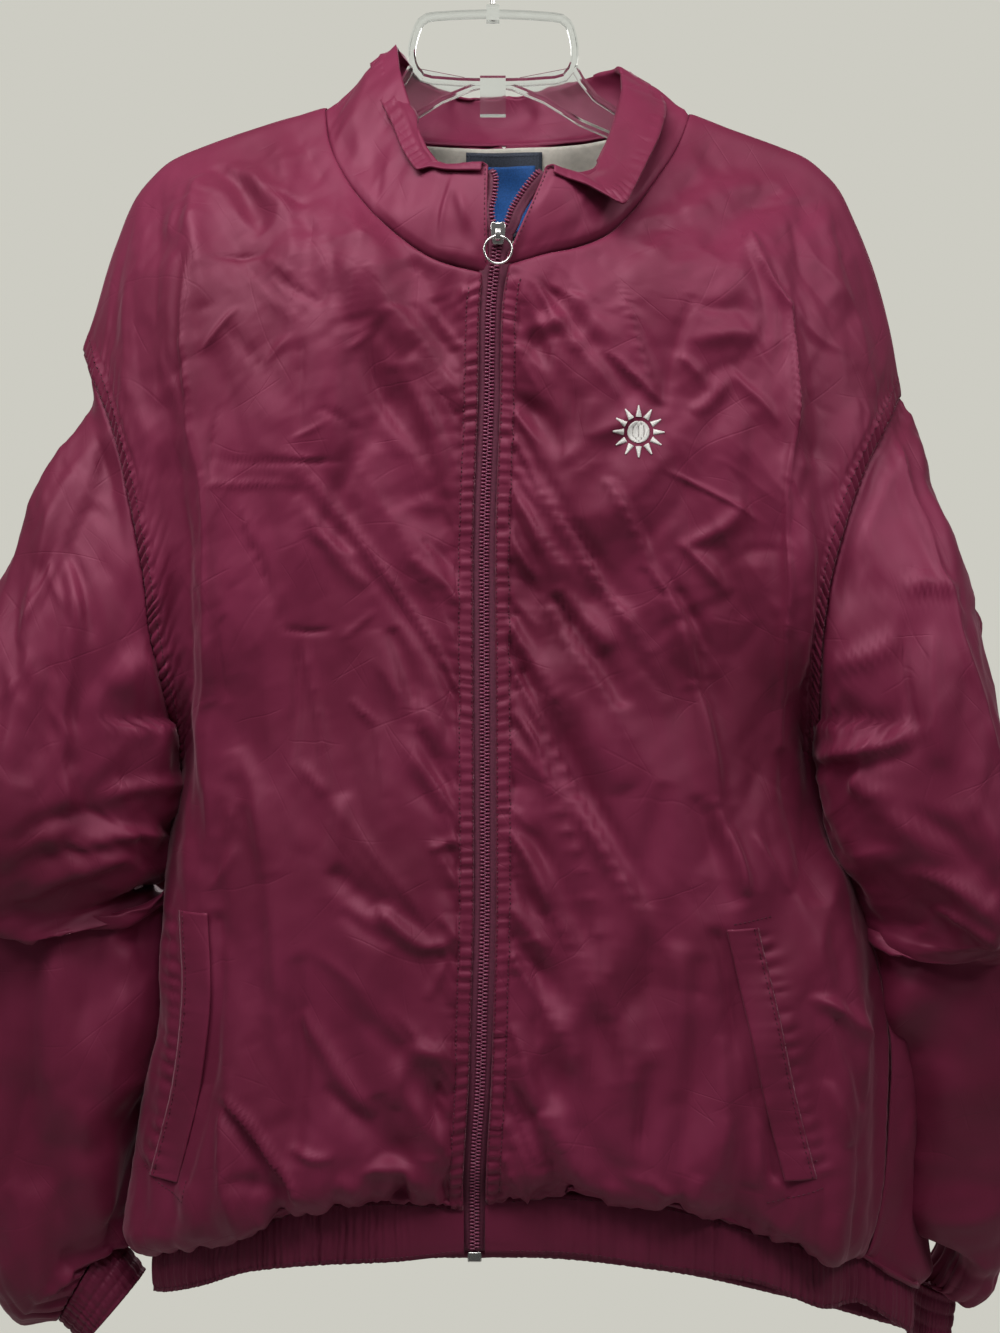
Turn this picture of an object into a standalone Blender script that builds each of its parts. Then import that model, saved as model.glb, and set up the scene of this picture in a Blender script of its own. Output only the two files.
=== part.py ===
"""A zip-front windbreaker with a stand collar, hanging on a clear plastic hanger.

Metres, +Z up, +X to the right as seen from the front, the front facing -Y.
The origin is the inner top of the hanger's hook, where a rail carries it.
The tables are in millimetres. Each piece of cloth is one thin wall.
"""

import math

import bmesh
import bpy
import numpy as np
from mathutils import Vector
from mathutils.bvhtree import BVHTree

MM = 0.001

# ---- driving sizes -------------------------------------------------------
CLOTH_WALL = 1.4 * MM      # wall of a cloth piece
SEAM_GAP = 0.35 * MM       # each piece stops this far short of a seam line
ARMHOLE_GAP = 1.4 * MM     # the sleeve stops a little further off, its wall stands at an angle
ARMPIT_GAP = 3.4 * MM      # and most at the armpit, where the side seam joins
TAPE_HALF = 7.0 * MM       # zip centre line to the folded edge of a front
TEETH_HALF = 4.0 * MM      # half the width of the closed row of teeth
TAPE_WALL = 1.2 * MM
TEETH_WALL = 2.4 * MM
RING_OUTER = 20.0 * MM     # ring pull, outside
RING_WIRE = 1.7 * MM
RING_LEAN = 2.0            # degrees that the ring hangs forward of plumb
RAIL_DEPTH = 7.0 * MM      # hanger rails, front to back
RAIL_WIDTH = 4.6 * MM
WEB_DEPTH = 2.2 * MM
HOOK_WIRE = 3.4 * MM
HOOK_INNER = 32.0 * MM     # inside width of the hook's curl
WELT_WIDTH = 23.0 * MM
ROLL = 2.8 * MM            # how far outside the hem band the panels' lowest row turns
LABEL_SIZE = (55.0 * MM, 60.0 * MM)
ARMPIT = 0.40              # share of a front's outer edge where the side seam ends
NECK = 0.74                # share of its inner edge where the zip ends and the neck seam starts
NECK_BACK = 0.93           # the same on the back's centre line
POUCH = 0.13               # share of a panel's height that blouses over the hem band


def table(columns, rows):
    """Named columns as arrays."""
    return dict(zip(columns.split(), np.array(rows, float).T))


# ---- seams, millimetres -----------------------------------------------------
ZIP = table("up across deep", [   # the zip's centre line, from the box up to the slider
    (-936.0, -11.9, -72), (-900.0, -11.9, -76), (-874.0, -11.3, -84), (-820.0, -8.1, -90),
    (-763.0, -6.4, -92), (-698.0, -4.9, -88), (-576.0, -5.2, -79), (-473.0, -5.6, -74),
    (-366.0, -2.3, -75), (-311.0, -1.3, -79), (-284.0, 1.0, -81), (-256.0, 4.3, -82)])
ZIP_SPLIT = table("up left right deep", [   # the two rows of teeth above the slider
    (-256.0, 4.0, 4.6, -82), (-249.0, 1.6, 8.6, -82), (-243.0, 1.0, 10.6, -81),
    (-232.0, 3.0, 16.4, -77), (-221.0, 3.8, 24.0, -75), (-212.5, 0.8, 31.0, -72)])
NECK_SEAM = table("share across deep up", [
    (0.00, -6.0, -80, -284), (0.08, -31.5, -77, -277), (0.15, -60.4, -69, -259),
    (0.21, -85.4, -56, -234), (0.27, -102.8, -40, -206), (0.33, -114.1, -20, -176),
    (0.38, -117.2, 0, -152), (0.425, -88.0, 28, -160), (0.46, -45.0, 46, -166.5),
    (0.52, 8.0, 55, -166), (0.58, 62.0, 46, -165), (0.62, 108.0, 26, -160),
    (0.66, 138.5, 0, -156), (0.71, 128.0, -19, -184), (0.76, 111.1, -37, -212),
    (0.81, 91.5, -54, -240), (0.85, 75.4, -64, -256), (0.89, 56.3, -71, -265),
    (0.93, 37.5, -76, -270), (1.00, 10.5, -80, -279)])
COLLAR_CREST = table("share across deep up", [
    (0.00, -6.6, -72, -212), (0.08, -27.0, -67, -212), (0.15, -42.0, -53, -196),
    (0.21, -54.0, -31, -163), (0.27, -63.5, -8, -127), (0.33, -66.5, 14, -104),
    (0.38, -60.0, 36, -106), (0.425, -50.0, 50, -117), (0.46, -36.0, 58, -122),
    (0.52, -1.0, 66, -126), (0.58, 48.0, 58, -122), (0.62, 72.0, 46, -116),
    (0.66, 89.0, 28, -117), (0.71, 91.0, 5, -136), (0.76, 84.0, -18, -166),
    (0.81, 74.0, -36, -194), (0.85, 66.0, -51, -208), (0.89, 58.0, -60, -212),
    (0.93, 53.0, -65, -213), (1.00, 38.6, -70, -213)])
COLLAR_LIP = table("share across deep up", [
    (0.00, -7.4, -75, -216), (0.08, -30.0, -71, -214), (0.15, -57.0, -58, -202),
    (0.21, -69.0, -38, -174), (0.27, -82.5, -15, -142), (0.33, -87.0, 8, -119),
    (0.38, -80.0, 38, -116), (0.425, -62.0, 60, -128), (0.46, -42.0, 70, -132),
    (0.52, 0.0, 78, -136), (0.58, 52.0, 70, -132), (0.62, 82.0, 58, -126),
    (0.66, 104.0, 36, -124), (0.71, 121.0, -2, -152), (0.76, 116.0, -34, -177),
    (0.81, 104.0, -58, -206), (0.85, 94.0, -73, -228), (0.89, 86.0, -82, -240),
    (0.93, 64.0, -76, -226), (1.00, 40.4, -74, -217)])
LEFT_SIDE = table("share across deep up", [   # left side seam, then the front of the armhole
    (0.00, -238.0, 0, -952), (0.045, -260.0, 0, -925), (0.10, -252.8, 0, -885),
    (0.16, -243.0, 0, -833), (0.20, -235.3, 0, -802), (0.26, -231.8, 0, -756),
    (0.35, -229.0, 0, -674), (0.40, -219.0, 0, -621), (0.506, -223.8, -38, -568),
    (0.596, -230.5, -54, -524), (0.671, -233.5, -60, -489), (0.777, -243.6, -56, -438),
    (0.88, -256.8, -44, -388), (0.955, -275.2, -24, -349), (1.00, -288.0, 0, -322.6)])
RIGHT_SIDE = table("share across deep up", [
    (0.00, 253.0, -12, -953), (0.045, 265.0, -12, -930), (0.10, 275.5, -10, -885),
    (0.17, 278.0, -12, -814), (0.22, 275.0, -10, -779), (0.30, 257.9, -5, -709),
    (0.35, 240.0, 0, -667), (0.40, 229.8, 0, -621), (0.49, 224.5, -30, -587),
    (0.56, 222.5, -50, -553), (0.61, 222.3, -58, -530), (0.67, 225.0, -62, -500),
    (0.75, 235.8, -58, -456), (0.85, 253.9, -44, -409), (0.93, 271.0, -26, -381),
    (1.00, 286.7, 0, -355)])
LEFT_RIDGE = table("share across deep up", [   # over the hanger's arm, then down the upper arm
    (0.00, -117.2, 0, -152), (0.22, -170.6, 0, -168), (0.37, -205.8, 0, -180.5),
    (0.46, -226.8, 0, -190), (0.53, -240.9, 0, -203), (0.59, -251.4, 0, -217),
    (0.70, -262.0, 0, -242), (0.80, -270.4, 0, -266), (0.90, -278.6, 0, -294.5),
    (1.00, -288.0, 0, -322.6)])
RIGHT_RIDGE = table("share across deep up", [
    (0.00, 138.5, 0, -156), (0.15, 173.6, 0, -169.5), (0.28, 201.7, 0, -179.5),
    (0.36, 219.3, 0, -187), (0.43, 232.0, 0, -197), (0.50, 243.9, 0, -211),
    (0.57, 252.3, 0, -228), (0.67, 262.0, 0, -252), (0.78, 271.5, 0, -281),
    (0.89, 280.4, 0, -316), (1.00, 286.7, 0, -355)])
BACK_ARMHOLE = table("share deep", [   # how far behind the front seam's place the back armhole runs
    (0.40, 0), (0.506, 40), (0.596, 56), (0.671, 60), (0.777, 55), (0.88, 42), (0.955, 22), (1.0, 0)])
CENTRE_BACK = table("share across deep up", [
    (0.00, 20.0, 66, -947), (0.06, 20.0, 86, -905), (0.16, 20.0, 86, -820),
    (0.40, 14.0, 76, -600), (0.65, 10.0, 70, -400), (0.85, 8.0, 64, -230), (0.93, 8.0, 55, -166)])

# ---- fullness, millimetres ------------------------------------------------------
FRONT_FULLNESS = table("share deep", [
    (0, 0), (0.08, 8), (0.2, 12), (0.35, 10), (0.5, 8), (0.7, 7), (0.85, 5), (0.95, 2), (1, 0)])
POUCH_LEFT = table("across drop out", [   # across: 0 at the zip, 1 at the side seam
    (0.00, 2, 2), (0.10, 11, 11), (0.22, 5, 7), (0.40, 17, 15), (0.56, 11, 10), (0.72, 20, 15),
    (0.88, 18, 9), (1.0, 12, 0)])
POUCH_RIGHT = table("across drop out", [
    (0.00, 2, 2), (0.12, 8, 10), (0.32, 20, 16), (0.48, 10, 9), (0.64, 18, 15), (0.84, 18, 10),
    (1.0, 12, 0)])
POUCH_BACK = table("across drop out", [
    (0.00, 17, 13), (0.2, 12, 9), (0.4, 18, 14), (0.6, 12, 10), (0.8, 18, 12), (1.0, 12, 0)])
SIDE_STRIP = table("share across", [   # the back's right side stands out past the front's edge
    (0.0, 0), (0.04, 12), (0.08, 0), (0.17, -4), (0.24, -14), (0.30, -38), (0.36, -54), (0.42, -48),
    (0.60, -20), (1.0, 0)])

# ---- largest folds on the fronts: two ends on the cloth, half width, height (minus is a trough)
FRONT_FOLDS = table("x0 z0 x1 z1 half high", [
    (-199, -302, -186, -640, 14, 6), (-208, -330, -207, -620, 13, -8),
    (207, -330, 200, -600, 15, 8), (176, -300, 206, -370, 14, 7), (222, -520, 226, -720, 16, -8),
    (30, -480, 120, -640, 16, 5), (16, -470, 74, -700, 12, -5),
    (-40, -560, -92, -760, 16, 4), (-150, -480, -110, -760, 18, 4),
    (-130, -870, -140, -760, 10, -6), (112, -880, 122, -770, 10, -6), (-58, -880, -62, -800, 9, -5)])

# ---- sleeves: outer and inner end of each section, then its depth towards the front and the
# back of a middle line at "mid", and how far the front's middle hangs past the two ends
SLEEVE = "ox oz ix iz mid front back hang"
SLEEVE_LEFT = table(SLEEVE, [
    (-288.0, -322.6, -219.0, -621.0, 0, 60, 60, 0),
    (-304.1, -371.8, -229.0, -645.0, 0, 70, 64, 2),
    (-321.7, -428.0, -235.5, -663.0, 0, 80, 67, 6),
    (-340.7, -484.2, -247.0, -679.0, 0, 88, 68, 12),
    (-360.4, -547.5, -270.0, -693.0, 0, 90, 68, 26),
    (-374.0, -603.0, -290.0, -701.0, 2, 84, 67, 50),
    (-380.0, -636.0, -270.0, -705.0, 10, 70, 60, 54),
    (-386.3, -674.0, -240.0, -690.0, 20, 56, 54, 34),
    (-389.9, -737.0, -234.5, -720.0, 20, 52, 54, 12),
    (-388.5, -807.0, -237.0, -780.0, 20, 53, 55, 4),
    (-382.8, -863.6, -246.0, -828.0, 24, 54, 53, 2),
    (-373.0, -920.0, -256.0, -882.0, 28, 52, 50, 4),
    (-355.0, -976.0, -268.5, -930.0, 30, 46, 44, 8),
    (-334.0, -1012.0, -280.5, -954.5, 31, 36, 36, 6),
    (-311.0, -1012.0, -276.0, -953.0, 31, 26, 26, 0)])
SLEEVE_RIGHT = table(SLEEVE, [
    (286.7, -355.0, 229.8, -621.0, 0, 62, 62, 0),
    (307.1, -414.0, 241.0, -641.0, 0, 72, 66, 4),
    (321.2, -477.0, 248.5, -660.0, 0, 80, 68, 8),
    (338.8, -540.0, 257.5, -682.0, 0, 86, 68, 14),
    (357.7, -611.0, 268.0, -703.0, 0, 88, 68, 28),
    (371.0, -658.0, 275.0, -714.0, 2, 82, 67, 44),
    (378.0, -690.0, 271.0, -718.0, 12, 68, 60, 42),
    (385.8, -730.0, 266.0, -714.0, 20, 56, 54, 24),
    (393.4, -786.0, 281.0, -750.0, 25, 51, 55, 8),
    (395.8, -842.0, 316.0, -822.0, 31, 48, 56, 3),
    (391.9, -892.0, 323.0, -873.0, 43, 46, 50, 2),
    (382.0, -940.0, 330.0, -921.0, 58, 40, 42, 4),
    (366.0, -984.0, 328.0, -966.0, 76, 32, 32, 4),
    (354.0, -1012.0, 318.0, -996.0, 84, 27, 27, 3),
    (345.0, -1008.0, 314.0, -998.0, 86, 23, 23, 0)])
CUFF_LEFT = table(SLEEVE, [
    (-310.6, -1012.4, -275.6, -953.4, 31, 26, 26, 0), (-301.0, -1021.0, -262.0, -966.0, 31, 24, 24, 0),
    (-293.0, -1029.0, -250.5, -980.0, 31, 24, 24, 0)])
CUFF_RIGHT = table(SLEEVE, [
    (344.5, -1010.6, 313.5, -1000.6, 86.3, 23, 23, 0), (342.0, -1030.0, 312.0, -1022.0, 88, 22, 22, 0),
    (339.0, -1052.0, 311.0, -1046.0, 90, 23, 23, 0)])
BAND = table("share across deep top bottom", [   # hem band, from the zip round the left side and the back
    (0.00, -19.0, -74, -903.5, -936), (0.05, -62.0, -73, -900, -941), (0.11, -118.0, -70, -902, -944.5),
    (0.16, -162.0, -62, -921, -951), (0.20, -198.0, -45, -932, -966), (0.24, -225.0, -23, -944, -977),
    (0.27, -238.0, 0, -952, -983), (0.31, -226.0, 28, -952, -986), (0.37, -180.0, 52, -949, -984),
    (0.45, -90.0, 64, -946, -980), (0.53, 20.0, 66, -947, -980), (0.62, 130.0, 64, -956, -990),
    (0.69, 220.0, 60, -972, -1008), (0.74, 280.0, 46, -984, -1020), (0.77, 300.0, 26, -986, -1022),
    (0.80, 284.0, 4, -974, -1008), (0.83, 253.0, -12, -953, -988), (0.87, 228.0, -38, -944, -984),
    (0.91, 176.0, -58, -924, -960), (0.95, 110.0, -69, -903, -947), (0.98, 40.0, -73, -896, -937),
    (1.00, -5.0, -74, -899.5, -935.7)])
LEFT_SEAM, BACK_MIDDLE, RIGHT_SEAM = 0.27, 0.53, 0.83   # shares of the band's length
WELT_LEFT = table("x z", [(-203, -711), (-200, -760), (-206, -820), (-217, -868), (-224, -893)])
WELT_RIGHT = table("x z", [(166, -719), (180, -780), (192, -836), (205, -886)])
HANGER_ARM = table("x z", [   # the upper rail's line, from the window's corner to the tip
    (57.0, -124.0), (62.0, -133.0), (72.0, -145.5), (88.0, -156.0), (128.0, -167.5),
    (172.0, -180.0), (206.0, -195.0), (226.0, -208.0)])
HANGER_UNDER = table("x z", [   # the lower rail's line, from the middle to the tip
    (0.0, -135.0), (14.0, -138.0), (36.0, -147.0), (62.0, -163.0), (92.0, -176.0), (140.0, -192.0),
    (185.0, -205.0), (222.0, -215.0)])
WINDOW = table("x z", [   # the middle line of the window's bar
    (-52.5, -95.5), (-48.0, -90.5), (-40.0, -88.2), (0.0, -86.5), (42.0, -88.6), (50.0, -91.2), (54.5, -96.5),
    (57.5, -110.0), (56.5, -121.5), (52.5, -128.5), (44.0, -133.0), (0.0, -135.0), (-43.0, -133.0),
    (-51.5, -128.5), (-56.0, -121.5), (-56.8, -110.0)])


# ---- curves and patches ------------------------------------------------------
def smooth_curve(x, y, at):
    """Monotone cubic through the table's points: it never overshoots them."""
    x, y, at = np.asarray(x, float), np.asarray(y, float), np.asarray(at, float)
    if x[0] > x[-1]:
        x, y = x[::-1], y[::-1]
    h = np.diff(x)
    d = np.diff(y) / h
    m = np.zeros(len(x))
    m[0], m[-1] = d[0], d[-1]
    for i in range(1, len(x) - 1):
        if d[i - 1] * d[i] > 0:
            a, b = 2 * h[i] + h[i - 1], h[i] + 2 * h[i - 1]
            m[i] = (a + b) / (a / d[i - 1] + b / d[i])
    i = np.clip(np.searchsorted(x, at) - 1, 0, len(h) - 1)
    t = np.clip((at - x[i]) / h[i], 0, 1)
    return (y[i] * (1 + 2 * t) * (1 - t) ** 2 + h[i] * m[i] * t * (1 - t) ** 2
            + y[i + 1] * t * t * (3 - 2 * t) + h[i] * m[i + 1] * t * t * (t - 1))


def round_loop(points, steps=2):
    """A closed line through the points, with rounded turns between them."""
    p0, p1, p2, p3 = (np.roll(points, k, axis=0) for k in (1, 0, -1, -2))
    t = (np.arange(steps) / steps)[None, :, None]
    p0, p1, p2, p3 = (p[:, None, :] for p in (p0, p1, p2, p3))
    return 0.5 * (2 * p1 + (p2 - p0) * t + (2 * p0 - 5 * p1 + 4 * p2 - p3) * t ** 2
                  + (3 * p1 - p0 - 3 * p2 + p3) * t ** 3).reshape(-1, points.shape[1])


def line(rows, at):
    """Points of a seam table, in metres."""
    at = np.asarray(at, float)
    return MM * np.stack([smooth_curve(rows["share"], rows[k], at) for k in ("across", "deep", "up")], -1)


def zip_at(up):
    up = np.asarray(up, float)
    return MM * np.stack([smooth_curve(ZIP["up"], ZIP["across"], up), smooth_curve(ZIP["up"], ZIP["deep"], up), up], -1)


def front_inner(side, v):
    """Inner edge of a front: up the zip, then along the neck seam to the shoulder."""
    v = np.asarray(v, float)
    low = -903.5 if side < 0 else -899.5
    top = NECK_SEAM["up"][0 if side < 0 else -1]
    zip_part = zip_at(low + (top - low) * np.clip(v / NECK, 0, 1))
    zip_part[:, 0] += side * TAPE_HALF
    along = np.clip((v - NECK) / (1 - NECK), 0, 1)
    neck = line(NECK_SEAM, 0.38 * along if side < 0 else 1 - 0.34 * along)
    ease = np.clip((v - NECK + 0.05) / 0.05, 0, 1)[:, None]
    meet = zip_at([top])[0] + np.array([side * TAPE_HALF, 0, 0])
    joined = zip_part + (line(NECK_SEAM, [0.0 if side < 0 else 1.0]) - meet) * ease ** 2
    return np.where((v >= NECK)[:, None], neck, joined)


def back_inner(side, v):
    v = np.asarray(v, float)
    along = np.clip((v - NECK_BACK) / (1 - NECK_BACK), 0, 1)
    neck = line(NECK_SEAM, 0.52 - 0.14 * along if side < 0 else 0.52 + 0.14 * along)
    return np.where((v >= NECK_BACK)[:, None], neck, line(CENTRE_BACK, np.minimum(v, NECK_BACK)))


def outer(side, v, back):
    p = line(LEFT_SIDE if side < 0 else RIGHT_SIDE, v)
    if back:
        behind = MM * smooth_curve(BACK_ARMHOLE["share"], BACK_ARMHOLE["deep"], np.maximum(v, ARMPIT))
        p[:, 1] = np.where(v > ARMPIT, behind, p[:, 1])
        p[:, 0] += np.where(v > ARMPIT, side * 0.06 * behind, 0)
    return p


def band_line(share, drop=0.0):
    """The hem band's top edge, or a share of the way down to its lower edge."""
    x, y, top, low = (MM * smooth_curve(BAND["share"], BAND[k], share) for k in ("across", "deep", "top", "bottom"))
    return np.stack([x, y, top + drop * (low - top)], -1)


def hem_row(side, back, u):
    """The part of the band's top edge that this half panel is sewn to."""
    if back:
        return band_line(BACK_MIDDLE + u * ((LEFT_SEAM if side < 0 else RIGHT_SEAM) - BACK_MIDDLE))
    return band_line(u * LEFT_SEAM if side < 0 else 1 - u * (1 - RIGHT_SEAM))


def blend_row(v):
    """How much of the hem's roundness a row keeps: all of it to the armpit, none at the shoulder."""
    t = np.clip((v - ARMPIT + 0.10) / (1 - ARMPIT + 0.10), 0, 1)
    return (1 - t) ** 1.6


def patch(side, back, u, v):
    """Points of half a body panel: u from its inner to its outer edge, v from hem to shoulder."""
    ends = np.array([0.0, NECK, 1.0])
    in_ends = (back_inner if back else front_inner)(side, ends)
    out_ends = outer(side, ends, back)
    inner = back_inner(side, v) if back else front_inner(side, v)
    out = outer(side, v, back)
    bottom = hem_row(side, back, u)
    ridge = LEFT_RIDGE if side < 0 else RIGHT_RIDGE
    top = line(ridge, u)
    keep = blend_row(v)[:, None, None]
    U = u[None, :, None]
    p = (keep * bottom[None] + (1 - keep) * top[None] + (1 - U) * inner[:, None] + U * out[:, None]
         - keep * ((1 - U) * in_ends[0] + U * out_ends[0]) - (1 - keep) * ((1 - U) * in_ends[2] + U * out_ends[2]))
    # the lowest rows roll over the outside of the band
    share = BACK_MIDDLE + u * ((LEFT_SEAM if side < 0 else RIGHT_SEAM) - BACK_MIDDLE) if back else (
        u * LEFT_SEAM if side < 0 else 1 - u * (1 - RIGHT_SEAM))
    run = band_line(np.clip(share + 0.004, 0, 1)) - band_line(np.clip(share - 0.004, 0, 1))
    away = np.stack([-run[:, 1], run[:, 0], 0 * run[:, 0]], -1)
    away *= ROLL / np.linalg.norm(away, axis=1)[:, None]
    p += away[None] * np.clip(1 - v / 0.05, 0, 1)[:, None, None]
    sign = 1 if back else -1
    full = MM * smooth_curve(FRONT_FULLNESS["share"], FRONT_FULLNESS["deep"], v)[:, None]
    p[..., 1] += sign * full * np.sin(math.pi * np.clip(u, 0, 1)[None, :]) ** 0.8
    roll = POUCH_BACK if back else POUCH_LEFT if side < 0 else POUCH_RIGHT
    q = np.clip(v / POUCH, 0, 1)[:, None]
    drop = MM * smooth_curve(roll["across"], roll["drop"], u)[None, :]
    out_by = MM * smooth_curve(roll["across"], roll["out"], u)[None, :]
    p[..., 2] -= drop * np.sin(math.pi * q ** 0.62) * 1.05
    p[..., 1] += sign * out_by * np.sin(math.pi * q ** 0.8)
    if back and side > 0:
        strip = MM * smooth_curve(SIDE_STRIP["share"], SIDE_STRIP["across"], v)[:, None]
        p[..., 0] += strip * np.sin(math.pi * np.clip((u[None, :] - 0.5) / 0.5, 0, 1))
    return p


def fold_height(x, z, folds):
    """Soft ridges and troughs along lines drawn on the cloth, seen from the front."""
    h = np.zeros_like(x)
    for x0, z0, x1, z1, half, high in zip(*(folds[k] for k in ("x0", "z0", "x1", "z1", "half", "high"))):
        a, b = np.array([x0, z0]) * MM, np.array([x1, z1]) * MM
        along = ((x - a[0]) * (b - a)[0] + (z - a[1]) * (b - a)[1]) / ((b - a) @ (b - a))
        t = np.clip(along, 0, 1)
        off = np.hypot(x - a[0] - t * (b - a)[0], z - a[1] - t * (b - a)[1]) / (half * MM)
        h += high * MM * np.exp(-off ** 2) * np.clip(4 * t * (1 - t) + 0.35, 0, 1)
    return h


def front_points(side, u, v):
    p = patch(side, False, u, v)
    edge = np.minimum(np.clip(u / 0.12, 0, 1)[None, :], np.clip((1 - u) / 0.12, 0, 1)[None, :])
    edge = edge * np.clip((1 - v) / 0.12, 0, 1)[:, None] * np.clip(v / 0.1, 0, 1)[:, None]
    p[..., 1] -= fold_height(p[..., 0], p[..., 2], FRONT_FOLDS) * edge
    return p


def sleeve_section(rows, s, angle):
    """Ring points: angle 0 is the outer end, a half turn the inner one, the front half between."""
    at = np.arange(len(rows["ox"]))
    g = {k: MM * smooth_curve(at, rows[k], s)[:, None] for k in rows}
    c, d = np.cos(angle)[None, :], np.sin(angle)[None, :]
    n = 2 / 2.25
    c = np.sign(c) * np.abs(c) ** n
    bulge = np.abs(d) ** n
    mx, mz, hx, hz = (g["ox"] + g["ix"]) / 2, (g["oz"] + g["iz"]) / 2, (g["ox"] - g["ix"]) / 2, (g["oz"] - g["iz"]) / 2
    long = np.hypot(hx, hz)
    px, pz = np.abs(hz) / long * np.sign(hx), -np.abs(hx) / long
    hang = g["hang"] * np.where(d > 0, bulge, 0.4 * bulge)
    x = mx + hx * c + px * hang
    z = mz + hz * c + pz * hang
    y = g["mid"] + np.where(d > 0, -g["front"] * bulge, g["back"] * bulge)
    return np.stack([x, y + 0 * x, z], -1)


def armhole_loop(side, angle):
    """The armhole seam all round, at the same angles as the sleeve's rings."""
    share = 1 - (1 - ARMPIT) * (1 - np.cos(angle)) / 2
    front, back = outer(side, share, False), outer(side, share, True)
    return np.where((np.sin(angle) >= 0)[:, None], front, back)


def sleeve_points(side, s, angle):
    rows = SLEEVE_LEFT if side < 0 else SLEEVE_RIGHT
    p = sleeve_section(rows, s, angle)
    near = np.clip(1 - s / 1.6, 0, 1)[:, None, None] ** 2 * (3 - 2 * np.clip(1 - s / 1.6, 0, 1)[:, None, None])
    loop = armhole_loop(side, angle)[None] - sleeve_section(rows, np.zeros(1), angle)
    return p + near * loop


def collar_points(t, w):
    """w: 0 at the neck seam, 0.75 at the crest, 1 at the lip of the turned-out edge."""
    base, crest, lip = (line(k, t) for k in (NECK_SEAM, COLLAR_CREST, COLLAR_LIP))
    centre = np.array([0.01, 0.0, 0.0])
    away = (base + crest) / 2 - centre
    away[:, 2] = 0
    away /= np.linalg.norm(away, axis=1)[:, None]
    belly = (base + crest) / 2 + away * 0.004
    stops = np.array([0, 0.38, 0.75, 1.0])
    pts = np.stack([base, belly, crest, lip])          # 4, n, 3
    out = np.empty((len(w), len(t), 3))
    top = pts[2] + (crest - base) * 0.04
    for i, k in enumerate(w):
        if k <= 0.75:
            a = k / 0.75
            out[i] = (1 - a) ** 2 * base + 2 * a * (1 - a) * (2 * belly - (base + crest) / 2) + a * a * crest
        else:
            a = (k - 0.75) / 0.25
            out[i] = (1 - a) ** 2 * crest + 2 * a * (1 - a) * ((crest + lip) / 2 + (top - crest) * 2.2) + a * a * lip
    return out


def band_points(t, w):
    return np.stack([band_line(t, k) for k in w])


# ---- making solids -----------------------------------------------------------------
def pull_in(p, sides, gap):
    """Moves the named edges of a grid of points inwards by the gap. Sides: l r are columns, b t rows."""
    p = p.copy()
    for s in sides:
        if s == "l":
            d = p[:, 1] - p[:, 0]
            p[:, 0] += d / np.linalg.norm(d, axis=1)[:, None] * gap
        if s == "r":
            d = p[:, -2] - p[:, -1]
            p[:, -1] += d / np.linalg.norm(d, axis=1)[:, None] * gap
        if s == "b":
            d = p[1] - p[0]
            p[0] += d / np.linalg.norm(d, axis=1)[:, None] * gap
        if s == "t":
            d = p[-2] - p[-1]
            p[-1] += d / np.linalg.norm(d, axis=1)[:, None] * gap
    return p


def material(name, colour, rough, metal=0.0, clear=0.0):
    m = bpy.data.materials.new(name)
    m.use_nodes = True
    b = m.node_tree.nodes["Principled BSDF"]
    b.inputs["Base Color"].default_value = (*colour, 1)
    b.inputs["Roughness"].default_value = rough
    b.inputs["Metallic"].default_value = metal
    b.inputs["Transmission Weight"].default_value = clear
    return m


def add(name, mesh, mat, parent=None):
    obj = bpy.data.objects.new(name, mesh)
    bpy.context.scene.collection.objects.link(obj)
    mesh.materials.append(mat)
    if parent is not None:
        obj.parent = parent
    return obj


def grid_faces(rows, cols, start=0, around=False):
    faces = []
    for i in range(rows - 1):
        for j in range(cols if around else cols - 1):
            k = (j + 1) % cols
            faces.append((start + i * cols + j, start + i * cols + k, start + (i + 1) * cols + k, start + (i + 1) * cols + j))
    return faces


def wall(name, grids, mat, thick, around=False, flip=False, weld=False, parent=None):
    """A closed thin wall through one or more grids of points."""
    points, faces = [], []
    for g in grids:
        faces += grid_faces(g.shape[0], g.shape[1], len(points), around)
        points += [tuple(q) for q in g.reshape(-1, 3)]
    if flip:
        faces = [f[::-1] for f in faces]
    mesh = bpy.data.meshes.new(name)
    mesh.from_pydata(points, [], faces)
    if weld:
        bm = bmesh.new()
        bm.from_mesh(mesh)
        bmesh.ops.remove_doubles(bm, verts=bm.verts, dist=1e-6)
        bm.to_mesh(mesh)
        bm.free()
    mesh.update()
    obj = add(name, mesh, mat, parent)
    solid = obj.modifiers.new("Wall", "SOLIDIFY")
    solid.thickness = thick
    solid.offset = 0
    solid.use_rim = True
    mesh.shade_smooth()
    mesh.set_sharp_from_angle(angle=math.radians(50))
    return obj


def sweep(name, path, profile, mat, closed=False, parent=None, side=None):
    """A profile carried along a path. profile(i) gives the ring's points round path point i."""
    rings = [profile(i) for i in range(len(path))]
    n = len(rings[0])
    points = [tuple(q) for r in rings for q in r]
    faces = grid_faces(len(rings), n, 0, True)
    if closed:
        last = (len(rings) - 1) * n
        faces += [(last + j, last + (j + 1) % n, (j + 1) % n, j) for j in range(n)]
    else:
        faces += [tuple(range(n))[::-1], tuple(range((len(rings) - 1) * n, len(rings) * n))]
    mesh = bpy.data.meshes.new(name)
    mesh.from_pydata(points, [], faces)
    bm = bmesh.new()
    bm.from_mesh(mesh)
    bmesh.ops.recalc_face_normals(bm, faces=bm.faces)
    bm.to_mesh(mesh)
    bm.free()
    mesh.update()
    return add(name, mesh, mat, parent)


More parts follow.
